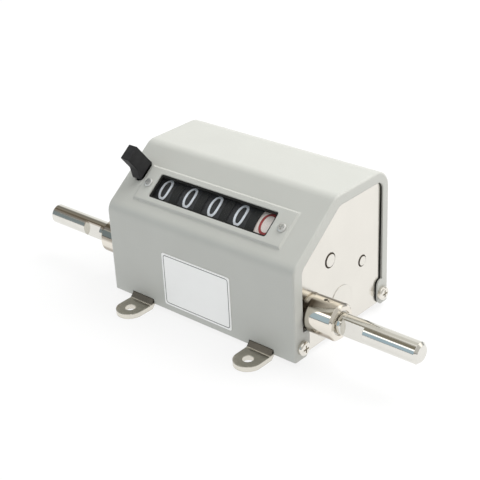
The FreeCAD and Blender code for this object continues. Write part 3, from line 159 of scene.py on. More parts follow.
def mesh_object(name: str, patches: list[Patch]) -> bpy.types.Object:
    """An object of several closed patches, at the origin, with its place in its mesh.

    Args:
        name: the object's name.
        patches: closed patches in millimetres.

    Returns:
        The object, linked to the scene.
    """
    points: list[np.ndarray] = []
    faces: list[list[int]] = []
    count = 0
    for patch in (item.outward() for item in patches):
        points.append(patch.points)
        faces += (patch.quads + count).tolist() + (patch.triangles + count).tolist()
        count += patch.points.shape[0]
    mesh = bpy.data.meshes.new(name)
    mesh.from_pydata((np.concatenate(points) * MM).tolist(), [], faces)
    mesh.validate()
    mesh.polygons.foreach_set("use_smooth", np.full(len(mesh.polygons), True))
    mesh.set_sharp_from_angle(angle=SHARP_ANGLE)
    made = bpy.data.objects.new(name, mesh)
    bpy.context.scene.collection.objects.link(made)
    return made


def ribbon(path: np.ndarray, width: float, low: float, high: float, closed: bool) -> np.ndarray:
    """A flat band along a path: a grid of (across, up, out) rows of four corners.

    The tangent is the difference of the neighbouring points, the normal is the tangent turned a quarter,
    and each point's four corners stand half the width to either side, at the low and at the high lift. An
    open band narrows at its ends as the square root of one less the square of the nearness to the end.

    Args:
        path: points across and up.
        width: the band's width.
        low: the lift of its underside.
        high: the lift of its face.
        closed: whether the path is a loop.

    Returns:
        An array of points, 4 corners and 3 values.
    """
    if closed:
        ahead, behind = np.roll(path, -1, axis=0), np.roll(path, 1, axis=0)
    else:
        ahead = np.vstack([path[1:], path[-1:]])
        behind = np.vstack([path[:1], path[:-1]])
    tangent = ahead - behind
    tangent /= np.linalg.norm(tangent, axis=1, keepdims=True)
    normal = np.stack([-tangent[:, 1], tangent[:, 0]], axis=-1)
    half = np.full(path.shape[0], width / 2)
    if not closed:
        steps = np.linalg.norm(np.diff(path, axis=0), axis=1)
        run = np.concatenate([[0.0], np.cumsum(steps)])
        to_end = np.minimum(run, run[-1] - run)
        nearness = 1.0 - np.clip(to_end / (width / 2), TIP_SHARE, 1.0)
        half = half * np.sqrt(1.0 - nearness ** 2)
    left = path + normal * half[:, None]
    right = path - normal * half[:, None]
    corners = [(left, low), (left, high), (right, high), (right, low)]
    return np.stack([np.column_stack([side, np.full(len(path), lift)]) for side, lift in corners], axis=1)


def bar(edges: list[np.ndarray]) -> Patch:
    """A closed bar between long edges, each an array of points along it."""
    return grid_patch(np.stack(edges, axis=1), False, True, True)


def arc(centre: Flat, radii: Flat, angles: Flat, count: int) -> np.ndarray:
    """Points along an arc: the centre plus the radii times the cosine and sine of the angle.

    Args:
        centre: the arc's centre.
        radii: the radii across and up.
        angles: the first and the last angle, in degrees.
        count: how many points it has.

    Returns:
        An array of points across and up.
    """
    angle = np.radians(np.linspace(*angles, count))
    return np.array(centre) + np.stack([np.cos(angle), np.sin(angle)], axis=-1) * np.array(radii)


def axle_centre(node: str) -> Flat:
    """The Y and Z of an axle's line, in millimetres."""
    low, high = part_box(node)
    return ((low.y + high.y) / 2 / MM, (low.z + high.z) / 2 / MM)


def superellipse(count: int, power: float) -> np.ndarray:
    """A closed oval in the unit square: cosine and sine of the angle, each to the power 2 / power, signed.

    Args:
        count: how many points it has.
        power: 2 for a circle, and more for a squarer oval.

    Returns:
        An array of points across and up.
    """
    angle = np.linspace(0.0, 2.0 * math.pi, count, endpoint=False)
    across, up = np.cos(angle), np.sin(angle)
    return np.stack([np.sign(across) * np.abs(across) ** (2.0 / power),
                     np.sign(up) * np.abs(up) ** (2.0 / power)], axis=-1)


# Node trees and finishes


class Nodes:
    """Short calls for the nodes of a tree."""

    def __init__(self, tree: bpy.types.NodeTree) -> None:
        """Take up a tree and empty it."""
        self.tree = tree
        self.tree.nodes.clear()

    def put(self, node: bpy.types.Node, socket: str | int, value: object) -> None:
        """Set a socket to a value, or join it to another node's socket.

        Args:
            node: the node that has the socket.
            socket: the socket's name or number.
            value: a number, a colour, a vector or another node's socket.
        """
        if isinstance(value, bpy.types.NodeSocket):
            self.tree.links.new(value, node.inputs[socket])
        else:
            node.inputs[socket].default_value = value

    def spread(self, value: bpy.types.NodeSocket, low: float, high: float, start: float = 0.3,
               end: float = 0.7, smooth: bool = False) -> bpy.types.NodeSocket:
        """A value between start and end spread over the range from low to high.

        Args:
            value: the value's socket.
            low: what start becomes.
            high: what end becomes.
            start: the value at one end of the spread.
            end: the value at its other end.
            smooth: whether both ends are eased.

        Returns:
            The socket with the spread value.
        """
        ramp = self.tree.nodes.new("ShaderNodeMapRange")
        ramp.interpolation_type = "SMOOTHSTEP" if smooth else "LINEAR"
        self.put(ramp, "Value", value)
        self.put(ramp, "From Min", start)
        self.put(ramp, "From Max", end)
        self.put(ramp, "To Min", low)
        self.put(ramp, "To Max", high)
        return ramp.outputs["Result"]

    def math(self, operation: str, first: object, second: object = 0.0) -> bpy.types.NodeSocket:
        """A Math node over one or two values.

        Args:
            operation: the node's operation.
            first: the first value or socket.
            second: the second one, if the operation has it.

        Returns:
            The socket with the result.
        """
        node = self.tree.nodes.new("ShaderNodeMath")
        node.operation = operation
        self.put(node, 0, first)
        self.put(node, 1, second)
        return node.outputs[0]

    def product(self, factors: list[bpy.types.NodeSocket]) -> bpy.types.NodeSocket:
        """The product of one or more values."""
        return reduce(lambda first, second: self.math("MULTIPLY", first, second), factors)

    def mix(self, share: object, first: object, second: object) -> bpy.types.NodeSocket:
        """A colour between two, by a share.

        Args:
            share: the second colour's share.
            first: a colour or a socket.
            second: a colour or a socket.

        Returns:
            The socket with the colour.
        """
        mix = self.tree.nodes.new("ShaderNodeMix")
        mix.data_type = "RGBA"
        self.put(mix, 0, share)
        self.put(mix, 6, first)
        self.put(mix, 7, second)
        return mix.outputs[2]


class Graph(Nodes):
    """A material's node tree around one Principled shader."""

    def __init__(self, name: str) -> None:
        """Start a material whose tree has only the shader, joined to the output.

        Args:
            name: the material's name.
        """
        self.material = bpy.data.materials.new(name)
        self.material.use_nodes = True
        super().__init__(self.material.node_tree)
        output = self.tree.nodes.new("ShaderNodeOutputMaterial")
        self.shader = self.tree.nodes.new("ShaderNodeBsdfPrincipled")
        self.tree.links.new(self.shader.outputs["BSDF"], output.inputs["Surface"])
        self.coordinates = self.tree.nodes.new("ShaderNodeTexCoord")

    def joined(self, socket: str) -> bpy.types.NodeSocket:
        """What is joined to one of the shader's sockets so far."""
        return self.shader.inputs[socket].links[0].from_socket

    def spots(self, stretch: Point = (1.0, 1.0, 1.0),
              shift: Point = (0.0, 0.0, 0.0)) -> bpy.types.NodeSocket:
        """Object coordinates, stretched and shifted.

        Args:
            stretch: the factor on each axis.
            shift: what is added on each axis, in metres.

        Returns:
            The socket with the coordinates.
        """
        mapping = self.tree.nodes.new("ShaderNodeMapping")
        self.put(mapping, "Vector", self.coordinates.outputs["Object"])
        self.put(mapping, "Scale", stretch)
        self.put(mapping, "Location", shift)
        return mapping.outputs["Vector"]

    def noise(self, grain: float, detail: float = 3.0,
              stretch: Point = (1.0, 1.0, 1.0)) -> bpy.types.NodeSocket:
        """A cloudy pattern.

        Args:
            grain: the size of its grain in millimetres.
            detail: how many finer layers it has.
            stretch: the factor on each axis.

        Returns:
            The socket with the pattern's value.
        """
        noise = self.tree.nodes.new("ShaderNodeTexNoise")
        self.put(noise, "Vector", self.spots(stretch))
        self.put(noise, "Scale", 1.0 / (grain * MM))
        self.put(noise, "Detail", detail)
        return noise.outputs["Fac"]

    def cells(self, grain: float) -> bpy.types.NodeSocket:
        """The distance to the nearest of scattered points.

        Args:
            grain: the points' spacing in millimetres.

        Returns:
            The socket with the distance, as a share of the spacing.
        """
        cells = self.tree.nodes.new("ShaderNodeTexVoronoi")
        self.put(cells, "Vector", self.spots())
        self.put(cells, "Scale", 1.0 / (grain * MM))
        return cells.outputs["Distance"]

    def rings(self, spacing: float, origin: Point) -> bpy.types.NodeSocket:
        """Rings round a line along X.

        Args:
            spacing: the rings' spacing in millimetres.
            origin: a point of the line, in millimetres.

        Returns:
            The socket with the rings' value.
        """
        wave = self.tree.nodes.new("ShaderNodeTexWave")
        wave.wave_type = "RINGS"
        wave.rings_direction = "X"
        self.put(wave, "Vector", self.spots((1.0, 1.0, 1.0), tuple(-part * MM for part in origin)))
        self.put(wave, "Scale", WAVE_LENGTH / (spacing * MM))
        self.put(wave, "Distortion", WAVE_DISTORTION)
        return wave.outputs["Fac"]

    def relief(self, height: bpy.types.NodeSocket, depth: float, strength: float,
               under: bpy.types.NodeSocket | None = None) -> bpy.types.NodeSocket:
        """A bump, over another normal if there is one.

        Args:
            height: the socket with the height, from 0 to 1.
            depth: the depth in millimetres.
            strength: the bump's strength.
            under: the normal below it.

        Returns:
            The socket with the normal.
        """
        bump = self.tree.nodes.new("ShaderNodeBump")
        self.put(bump, "Height", height)
        self.put(bump, "Distance", depth * MM)
        self.put(bump, "Strength", strength)
        if under is not None:
            self.put(bump, "Normal", under)
        return bump.outputs["Normal"]

    def vector(self, operation: str, first: object, second: object) -> bpy.types.Node:
        """A Vector Math node over two vectors.

        Args:
            operation: the node's operation.
            first: the first vector or socket.
            second: the second one.

        Returns:
            The node, which has a vector and a value to take.
        """
        node = self.tree.nodes.new("ShaderNodeVectorMath")
        node.operation = operation
        self.put(node, 0, first)
        self.put(node, 1, second)
        return node

    def distance_along(self, way: Point, origin: Point) -> bpy.types.NodeSocket:
        """How far a place lies from an origin along a unit vector: their dot product.

        Args:
            way: the unit vector.
            origin: the origin in millimetres.

        Returns:
            The socket with the distance in millimetres.
        """
        start = tuple(part * MM for part in origin)
        offset = self.vector("SUBTRACT", self.coordinates.outputs["Object"], start).outputs["Vector"]
        return self.vector("DOT_PRODUCT", offset, tuple(part / MM for part in way)).outputs["Value"]

    def edges(self, eased: bpy.types.NodeSocket) -> bpy.types.NodeSocket:
        """How near a place is to an edge: one less the dot product of the rounded and the plain normal."""
        plain = self.tree.nodes.new("ShaderNodeNewGeometry").outputs["True Normal"]
        return self.spread(self.vector("DOT_PRODUCT", eased, plain).outputs["Value"], 1.0, 0.0, *EDGE_TURN)

    def eased(self, radius: float) -> bpy.types.NodeSocket:
        """A normal that rounds every edge.

        Args:
            radius: the radius in millimetres.

        Returns:
            The socket with the normal.
        """
        bevel = self.tree.nodes.new("ShaderNodeBevel")
        bevel.samples = BEVEL_SAMPLES
        self.put(bevel, "Radius", radius * MM)
        return bevel.outputs["Normal"]


def opaque(color: Color, share: float = 1.0) -> tuple[float, float, float, float]:
    """A colour times a share, with full alpha."""
    return (color[0] * share, color[1] * share, color[2] * share, 1.0)


@dataclass(frozen=True)
class Finish:
    """A finish: colour, gloss, and how colour, gloss and relief vary over the surface."""

    name: str
    color: Color
    roughness: float
    metallic: float = 0.0
    mottle: float = 9.0
    mottle_share: float = 0.03
    grain: float = 0.6
    grain_depth: float = 0.01
    grain_strength: float = 0.2
    roughness_spread: float = 0.05
    edge: float = 0.0
    lay: Lay = Lay.NONE
    specular: float = 0.5
    coat: float = 0.0
    alpha: float = 1.0
    # The colour of a painted highlight along the edges, and its share there
    edge_highlight: Color = BLACK
    edge_highlight_share: float = 0.0

    def tree(self) -> Graph:
        """Build the finish: mottled colour, uneven gloss, grain, eased edges, and a painted highlight along
        the edges where its share is given.

        Returns:
            The finish's node tree.
        """
        graph = Graph(self.name)
        shader = graph.shader
        blotches = graph.noise(self.mottle, 4.0)
        dark = opaque(self.color, 1.0 - self.mottle_share)
        light = opaque(self.color, 1.0 + self.mottle_share)
        color = graph.mix(graph.spread(blotches, 0.0, 1.0), dark, light)
        graph.put(shader, "Metallic", self.metallic)
        graph.put(shader, "Specular IOR Level", self.specular)
        graph.put(shader, "Coat Weight", self.coat)
        graph.put(shader, "Alpha", self.alpha)
        fine = graph.noise(self.grain, 3.0, self.lay.value)
        graph.put(shader, "Roughness", graph.spread(fine, self.roughness - self.roughness_spread,
                                                    self.roughness + self.roughness_spread))
        under = graph.eased(self.edge) if self.edge > 0.0 else None
        # Painted highlight: near the edges the colour turns towards the highlight colour.
        if under is not None and self.edge_highlight_share > 0.0:
            edge_highlight_mask = graph.mix(graph.edges(under), opaque(BLACK), opaque(WHITE, self.edge_highlight_share))
            color = graph.mix(edge_highlight_mask, color, opaque(self.edge_highlight))
        graph.put(shader, "Base Color", color)
        graph.put(shader, "Normal", graph.relief(fine, self.grain_depth, self.grain_strength, under))
        return graph

    def material(self) -> bpy.types.Material:
        """The finish as a Blender material."""
        return self.tree().material


@dataclass(frozen=True)
class Enamel(Finish):
    """Stoved enamel: a fine orange peel with a few specks in it."""

    speck: float = 3.0
    speck_share: float = 0.05
    speck_core: float = 0.03
    speck_rim: float = 0.07

    def tree(self) -> Graph:
        """Build the enamel, with darker specks where a scattered point is near.

        Returns:
            The finish's node tree.
        """
        graph = super().tree()
        near = graph.spread(graph.cells(self.speck), 1.0, 0.0, self.speck_core, self.speck_rim)
        speck = opaque(self.color, 1.0 - self.speck_share)
        graph.put(graph.shader, "Base Color", graph.mix(near, graph.joined("Base Color"), speck))
        return graph


@dataclass(frozen=True)
class Plating(Finish):
    """Bright plating on rolled or turned metal: fine lines, and cloudy patches in its gloss."""

    cloud: float = 14.0
    cloud_spread: float = 0.05

    def tree(self) -> Graph:
        """Build the plating, whose roughness is the sum of its fine lines and its clouds.

        Returns:
            The finish's node tree.
        """
        graph = super().tree()
        clouds = graph.spread(graph.noise(self.cloud, 2.0), -self.cloud_spread, self.cloud_spread)
        graph.put(graph.shader, "Roughness", graph.math("ADD", graph.joined("Roughness"), clouds))
        return graph


def round_x(angle: float) -> Point:
    """The unit vector across X at an angle in degrees, counted from the front over the top."""
    turn = math.radians(angle)
    return (0.0, -math.cos(turn), math.sin(turn))


@dataclass(frozen=True)
class Bound:
    """One bound of a painted band: the distance along a direction over which the band fades in.

    A mirrored bound counts the distance alike on both sides of the origin.
    """

    way: Point
    start: float
    end: float
    mirrored: bool = False


@dataclass(frozen=True)
class Band:
    """A band of painted light and shade on a plating: its colour and its bounds."""

    color: Color
    bounds: tuple[Bound, ...]


@dataclass(frozen=True)
class PaintedLightPlating(Plating):
    """Plating with bands of painted reflection and shade about an origin, and turning marks round the X axis
    through it.
    """

    origin: Point = (0.0, 0.0, 0.0)
    bands: tuple[Band, ...] = ()
    turning: float = 0.0
    turning_depth: float = 0.02

    def step(self, graph: Graph, bound: Bound) -> bpy.types.NodeSocket:
        """How far a place is within one bound.

        Args:
            graph: the finish's node tree.
            bound: the bound.

        Returns:
            The socket with the share, from 0 outside to 1 inside.
        """
        along = graph.distance_along(bound.way, self.origin)
        if bound.mirrored:
            along = graph.math("ABSOLUTE", along)
        return graph.spread(along, 0.0, 1.0, bound.start, bound.end)

    def tree(self) -> Graph:
        """Build the plating, lay each band over it, and turning marks where their spacing is given.

        A band's share at a place is the product of one step for each of its bounds.

        Returns:
            The finish's node tree.
        """
        graph = super().tree()
        color = graph.joined("Base Color")
        for band in self.bands:
            share = graph.product([self.step(graph, bound) for bound in band.bounds])
            color = graph.mix(share, color, opaque(band.color))
        graph.put(graph.shader, "Base Color", color)
        if self.turning > 0.0:
            marks = graph.rings(self.turning, self.origin)
            under = graph.joined("Normal")
            graph.put(graph.shader, "Normal", graph.relief(marks, self.turning_depth, 1.0, under))
        return graph


SHAFT_LINE: Point = (0.0, -21.15, 22.2)
# Painted light and shade on the bright barrels: a dark painted reflection along the upper back, painted
# shade along the underside, painted shadow near the side plates and just beyond the lips, a duller painted
# reflection on the left barrel's upper front, and a dark crescent of painted shade at the left barrel's end.
BARREL_PAINTED_LIGHT = (
    Band((0.16, 0.13, 0.095), (Bound(round_x(120.0), 7.9, 8.6),)),
    Band((0.34, 0.29, 0.23), (Bound(round_x(-40.0), 7.8, 8.5),)),
    Band((0.13, 0.105, 0.08), (Bound(round_x(61.0), 8.30, 8.55), Bound((1.0, 0.0, 0.0), 69.0, 60.0, True))),
    Band((0.05, 0.04, 0.03), (Bound(round_x(0.0), 3.0, 4.6), Bound((1.0, 0.0, 0.0), 58.9, 58.4, True))),
    Band((0.36, 0.32, 0.27), (Bound(round_x(38.0), 7.2, 7.9), Bound((1.0, 0.0, 0.0), -52.0, -58.0))),
    Band((0.06, 0.055, 0.05), (Bound(round_x(70.0), 5.5, 7.0), Bound((1.0, 0.0, 0.0), -71.1, -71.5))),
)
# Painted reflections on the left shaft: dark brown bands along its upper front.
SHAFT_PAINTED_REFLECTIONS = (
    Band((0.44, 0.385, 0.325), (Bound(round_x(48.0), 4.15, 4.65), Bound((1.0, 0.0, 0.0), -60.0, -66.0))),
    Band((0.26, 0.235, 0.19), (Bound(round_x(76.0), 4.80, 4.97), Bound((1.0, 0.0, 0.0), -60.0, -66.0))),
)
# Painted light and shade on the foot straps by height: a lighter painted reflection low on the rims, and a
# dark painted reflection and shade on the tops and joggles.
STRAP_PAINTED_LIGHT = (
    Band((0.74, 0.71, 0.64), (Bound(round_x(90.0), 2.38, 2.20),)),
    Band((0.11, 0.10, 0.085), (Bound(round_x(90.0), 2.50, 2.80),)),
)


FINISHES: dict[str, Finish] = {
    "enamel": Enamel("light_grey_enamel", (0.510, 0.515, 0.484), 0.40, grain=0.9, grain_depth=0.02,
                     grain_strength=0.22, mottle=18.0, mottle_share=0.015, edge=0.7, coat=0.12),
    "plated_steel": Plating("plated_sheet", (0.78, 0.755, 0.700), 0.20, 1.0, grain=0.25, grain_depth=0.002,
                            grain_strength=0.08, roughness_spread=0.03, cloud_spread=0.03, lay=Lay.ALONG_Z,
                            mottle=22.0, mottle_share=0.02, edge=0.25),
    # The foot straps carry a painted highlight along their edges and painted bands of light and shade by
    # height.
    "strap_steel": PaintedLightPlating("plated_strap", (0.50, 0.465, 0.40), 0.22, 1.0, grain=0.3, grain_depth=0.006,
                             grain_strength=0.18, lay=Lay.ALONG_Y, mottle=6.0, mottle_share=0.10, edge=0.5,
                             edge_highlight=(0.86, 0.83, 0.75), edge_highlight_share=0.9, bands=STRAP_PAINTED_LIGHT),
    "rivet_steel": Plating("rivet_heads", (0.66, 0.64, 0.60), 0.32, 1.0, edge=0.2),
    # The barrels carry bands of painted reflection and shade.
    "chrome": PaintedLightPlating("bright_nickel_barrel", (0.80, 0.755, 0.68), 0.09, 1.0, grain=0.12,
                        grain_depth=0.002, grain_strength=0.15, roughness_spread=0.03, cloud_spread=0.02,
                        lay=Lay.ROUND_X, edge=0.15, origin=SHAFT_LINE, bands=BARREL_PAINTED_LIGHT, turning=0.8),
    # The shaft carries bands of painted reflection.
    "shaft_steel": PaintedLightPlating("ground_shaft", (0.75, 0.735, 0.69), 0.11, 1.0, grain=0.1, grain_depth=0.002,
                             grain_strength=0.2, roughness_spread=0.04, cloud_spread=0.03, lay=Lay.ROUND_X,
                             edge=0.12, origin=SHAFT_LINE, bands=SHAFT_PAINTED_REFLECTIONS),
    "dark_steel": Plating("oiled_steel", (0.30, 0.29, 0.28), 0.38, 1.0),
    "brass": Plating("worn_brass", (0.72, 0.52, 0.25), 0.30, 1.0, mottle=3.0, mottle_share=0.08),
    "units_white": Finish("ivory_drum", (0.97, 0.88, 0.83), 0.42, grain=0.4, grain_depth=0.01),
    "drum_black": Finish("black_drum", (0.020, 0.020, 0.022), 0.45, grain=0.5, grain_depth=0.015,
                         grain_strength=0.3, mottle=2.5, mottle_share=0.25, edge=0.15),
    "pinion_white": Finish("white_nylon", (0.78, 0.77, 0.72), 0.50, grain=0.5, grain_depth=0.01),
    "lens_clear": Finish("clear_lens", (0.20, 0.21, 0.22), 0.06, roughness_spread=0.02, grain=4.0,
                         grain_depth=0.01, grain_strength=0.05, mottle_share=0.01, alpha=0.04),
    "gasket_rubber": Finish("black_gasket", (0.016, 0.016, 0.015), 0.70, specular=0.2, grain=0.3,
                            grain_depth=0.02),
    "knob_black": Finish("black_knob", (0.026, 0.026, 0.027), 0.52, specular=0.16, grain=0.7,
                         grain_depth=0.02, grain_strength=0.35, mottle=4.0, mottle_share=0.2, edge=0.3),
    "sign_white": Finish("label_film", (0.93, 0.93, 0.92), 0.34, grain=1.6, grain_depth=0.01,
                         grain_strength=0.1, mottle=12.0, mottle_share=0.01, edge=0.1),
    "spring_steel": Plating("spring_wire", (0.55, 0.54, 0.52), 0.25, 1.0),
    "screw_nickel": Plating("nickel_screws", (0.80, 0.77, 0.71), 0.17, 1.0, grain=0.2, grain_depth=0.003,
                            mottle=1.5, mottle_share=0.06, edge=0.15),
    "figure_white": Finish("figure_paint", (0.90, 0.94, 1.0), 0.50, mottle=1.0, grain=0.25),
    "figure_red": Finish("red_figure_paint", (0.42, 0.045, 0.045), 0.50, mottle=1.0, grain=0.25),
    "printed_ink": Finish("printed_ink", (0.045, 0.045, 0.045), 0.45, mottle=1.0, grain=0.3),
    "pale_screw": Plating("pale_window_screws", (0.72, 0.72, 0.70), 0.42, 1.0, grain=0.3, grain_depth=0.003,
                          mottle=1.0, mottle_share=0.04, edge=0.15),
    # Black that stands in for the shade in the gap beside the back lips.
    "lip_shade_black": Finish("painted_lip_shade", (0.012, 0.011, 0.010), 0.60, specular=0.2, grain=0.3,
                       grain_depth=0.01, mottle=1.5, mottle_share=0.3),
    # A dark colour that stands in for the shade round the axle ends in the plate recesses.
    "axle_shade_dark": Finish("axle_shade_dark", (0.060, 0.045, 0.030), 0.35, grain=0.3, grain_depth=0.02, mottle=0.8,
                         mottle_share=0.3),
}

# CAD nodes that take another finish than their slot's
OTHER_FINISH = {"left_window_screw": "pale_screw", "right_window_screw": "pale_screw"}


class Dressing:
    """The finishes as materials, each made once, and the CAD nodes that take them."""

    def __init__(self) -> None:
        """Make every finish's material and note each node's slot."""
        self.materials = {slot: finish.material() for slot, finish in FINISHES.items()}
        self.slots = {item["node"]: item["material_slot"] for item in frame["record"]["subparts"]}

    def paint(self, piece: bpy.types.Object, slot: str) -> None:
        """Give a piece the material of a slot."""
        piece.data.materials.clear()
        piece.data.materials.append(self.materials[slot])

    def dress_nodes(self) -> int:
        """Give every CAD node its slot's material.

        Returns:
            How many nodes were dressed.
        """
        for node, slot in self.slots.items():
            self.paint(frame["nodes"][node], OTHER_FINISH.get(node, slot))
        return len(self.slots)

    def add(self, piece: bpy.types.Object, body: str, material: str, slot: str) -> None:
        """Paint a new piece and let it ride on a body.

        Args:
            piece: the new object.
            body: the body that it moves with.
            material: the finish that it takes.
            slot: the record's slot that it belongs to; not used.
        """
        self.paint(piece, material)
        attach(piece, body)
        LOG.info("%s rides on %s, %d faces", piece.name, body, len(piece.data.polygons))


# Figures on the number drums


@dataclass(frozen=True)
class Stroke:
    """A straight stroke of a figure, in a square from -1 to 1."""

    start: Flat
    finish: Flat

    def path(self, count: int) -> np.ndarray:
        """Points along the stroke: its start plus a growing share of the way to its finish."""
        share = np.linspace(0.0, 1.0, count)[:, None]
        return np.array(self.start) * (1.0 - share) + np.array(self.finish) * share


@dataclass(frozen=True)
class Bow:
    """A curved stroke of a figure: an oval's arc about a centre, from one angle to another."""

    centre: Flat
    radii: Flat
    angles: Flat

    def path(self, count: int) -> np.ndarray:
        """Points along the stroke."""
        return arc(self.centre, self.radii, self.angles, count)


# The strokes of each figure but nought, which is a closed oval
FIGURES: tuple[tuple[Stroke | Bow, ...], ...] = (
    (),
    (Stroke((0.15, -1.0), (0.15, 1.0)), Stroke((0.15, 1.0), (-0.55, 0.66))),
    (Bow((0.0, 0.42), (1.0, 0.58), (170.0, -38.0)), Stroke((0.8, 0.06), (-1.0, -1.0)),
     Stroke((-1.0, -1.0), (1.0, -1.0))),
    (Bow((0.0, 0.5), (0.92, 0.5), (155.0, -90.0)), Bow((0.0, -0.5), (1.0, 0.5), (90.0, -155.0))),
    (Stroke((0.45, -1.0), (0.45, 1.0)), Stroke((0.45, 1.0), (-1.0, -0.4)),
     Stroke((-1.0, -0.4), (1.0, -0.4))),
    (Stroke((0.85, 1.0), (-0.75, 1.0)), Stroke((-0.75, 1.0), (-0.85, 0.05)),
     Bow((0.0, -0.38), (1.0, 0.62), (146.0, -150.0))),
    (Bow((0.0, 0.0), (1.0, 1.0), (50.0, 180.0)), Stroke((-1.0, 0.0), (-1.0, -0.4)),
     Bow((0.0, -0.42), (1.0, 0.58), (0.0, 360.0))),
    (Stroke((-1.0, 1.0), (1.0, 1.0)), Stroke((1.0, 1.0), (-0.3, -1.0))),
    (Bow((0.0, 0.5), (0.86, 0.5), (0.0, 360.0)), Bow((0.0, -0.5), (1.0, 0.5), (0.0, 360.0))),
    (Bow((0.0, 0.0), (1.0, 1.0), (230.0, 360.0)), Stroke((1.0, 0.0), (1.0, 0.4)),
     Bow((0.0, 0.42), (1.0, 0.58), (0.0, 360.0))),
)


@dataclass
class NumberDrums:
    """The painted figures of the five drums, nought to nine round each."""

    names: tuple[str, ...] = ("units", "tens", "hundreds", "thousands", "ten_thousands")
    radius: float = 18.6
    first_x: float = 30.2
    pitch: float = 15.8
    reading_angle: float = 126.7
    step: float = 36.0
    height: float = 11.3
    width: float = 5.9
    units_width: float = 8.0
    stroke: float = 1.32
    nought_power: float = 2.35
    lift: float = 0.03
    sink: float = 0.03
    samples: int = 40

    def figure_paths(self, figure: int, width: float) -> list[tuple[np.ndarray, bool]]:
        """The strokes of one figure, at its size.

        Args:
            figure: the figure, from 0 to 9.
            width: its width in millimetres.

        Returns:
            A path in millimetres across and up for each stroke, and whether it is a loop.
        """
        half = np.array([width - self.stroke, self.height - self.stroke]) / 2
        if figure == 0:
            return [(superellipse(self.samples * 2, self.nought_power) * half, True)]
        return [(stroke.path(self.samples) * half, False) for stroke in FIGURES[figure]]

    def wrap(self, band: np.ndarray, x: float, angle: float, axis: Flat) -> np.ndarray:
        """Lay a flat band on a drum.

        The distance across goes along X. The distance up becomes an angle, the length over the radius,
        taken off the figure's angle, and the lift is added to the radius.

        Args:
            band: an array whose last axis is across, up and lift.
            x: the drum's middle along X.
            angle: the figure's angle in degrees.
            axis: the Y and Z of the drums' axle.

        Returns:
            An array of the same shape with X, Y and Z.
        """
        turn = np.radians(angle) - band[..., 1] / self.radius
        out = self.radius + band[..., 2]
        y, z = axis
        return np.stack([x + band[..., 0], y + out * np.cos(turn), z + out * np.sin(turn)], axis=-1)

    def build(self, dressing: Dressing) -> None:
        """Paint the figures on each drum.

        Args:
            dressing: the finishes, which paint the new pieces.
        """
        axis = axle_centre("drum_axle")
        for place, name in enumerate(self.names):
            x = self.first_x - self.pitch * place
            width = self.units_width if place == 0 else self.width
            patches = []
            for figure in range(len(FIGURES)):
                angle = self.reading_angle + self.step * figure
                for path, closed in self.figure_paths(figure, width):
                    band = ribbon(path, self.stroke, -self.sink, self.lift, closed)
                    patches.append(grid_patch(self.wrap(band, x, angle, axis), closed, True, not closed))
            made = mesh_object(name + "_figures", patches)
            finish = "figure_red" if place == 0 else "figure_white"
            slot = "units_white" if place == 0 else "drum_black"
            dressing.add(made, name + "_wheel", finish, slot)


@dataclass
class DrumMask:
    """The black bars under the lens that hide the gaps between the drums.

    Each bar is a strip of a cylinder about the drums' axle, a little outside the drums. Its place round the
    axle is an angle and its cross section is a flat rectangle along X and the radius.
    """

    drums: NumberDrums
    count: int = 4
    gap: float = 3.8
    overlap: float = 0.45
    units_overlap: float = 0.70
    inner_radius: float = 18.85
    outer_radius: float = 19.28
    half_turn: float = 33.0
    samples: int = 48

    def build(self, dressing: Dressing) -> None:
        """Lay one bar over each gap between two drums.

        Args:
            dressing: the finishes, which paint the new pieces.
        """
        y, z = axle_centre("drum_axle")
        middle = self.drums.reading_angle
        angle = np.radians(np.linspace(middle - self.half_turn, middle + self.half_turn, self.samples))
        across, up = np.cos(angle), np.sin(angle)
        patches = []
        for place in range(self.count):
            x = self.drums.first_x - self.drums.pitch * (place + 0.5)
            left = x - self.gap / 2 - self.overlap
            right = x + self.gap / 2 + (self.units_overlap if place == 0 else self.overlap)
            corners = [(left, self.inner_radius), (left, self.outer_radius), (right, self.outer_radius),
                       (right, self.inner_radius)]
            patches.append(bar([
                np.column_stack([np.full(self.samples, end), y + out * across, z + out * up])
                for end, out in corners
            ]))
        dressing.add(mesh_object("drum_mask", patches), "housing", "gasket_rubber", "gasket_rubber")


@dataclass
class NamePlate:
    """The printed rim of the bare name plate."""

    inset: float = 1.1
    corner: float = 1.3
    line_width: float = 0.34
    lift: float = 0.02
    sink: float = 0.03
    samples: int = 12

    def rim_path(self, left: float, right: float, low: float, high: float) -> np.ndarray:
        """A rectangle with round corners: each corner's centre plus the radius times cosine and sine.

        Args:
            left: the rectangle's least X.
            right: its greatest X.
            low: its least Z.
            high: its greatest Z.

        Returns:
            An array of points across and up.
        """
        left, right = left + self.corner, right - self.corner
        low, high = low + self.corner, high - self.corner
        centres = np.array([[right, high], [left, high], [left, low], [right, low]])
        start = np.radians([0.0, 90.0, 180.0, 270.0])
        angle = start[:, None] + np.linspace(0.0, math.pi / 2, self.samples)
        ring = centres[:, None, :] + np.stack([np.cos(angle), np.sin(angle)], axis=-1) * self.corner
        return ring.reshape(-1, 2)

    def build(self, dressing: Dressing) -> None:
        """Lay the rim on the plate's face.

        Args:
            dressing: the finishes, which paint the new pieces.
        """
        low, high = (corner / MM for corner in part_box("name_plate"))
        path = self.rim_path(low.x + self.inset, high.x - self.inset,
                             low.z + self.inset, high.z - self.inset)
        band = ribbon(path, self.line_width, -self.sink, self.lift, True)
        points = np.stack([band[..., 0], low.y - band[..., 2], band[..., 1]], axis=-1)
        made = mesh_object("name_plate_rim", [grid_patch(points, True, True)])
        dressing.add(made, "housing", "printed_ink", "sign_white")


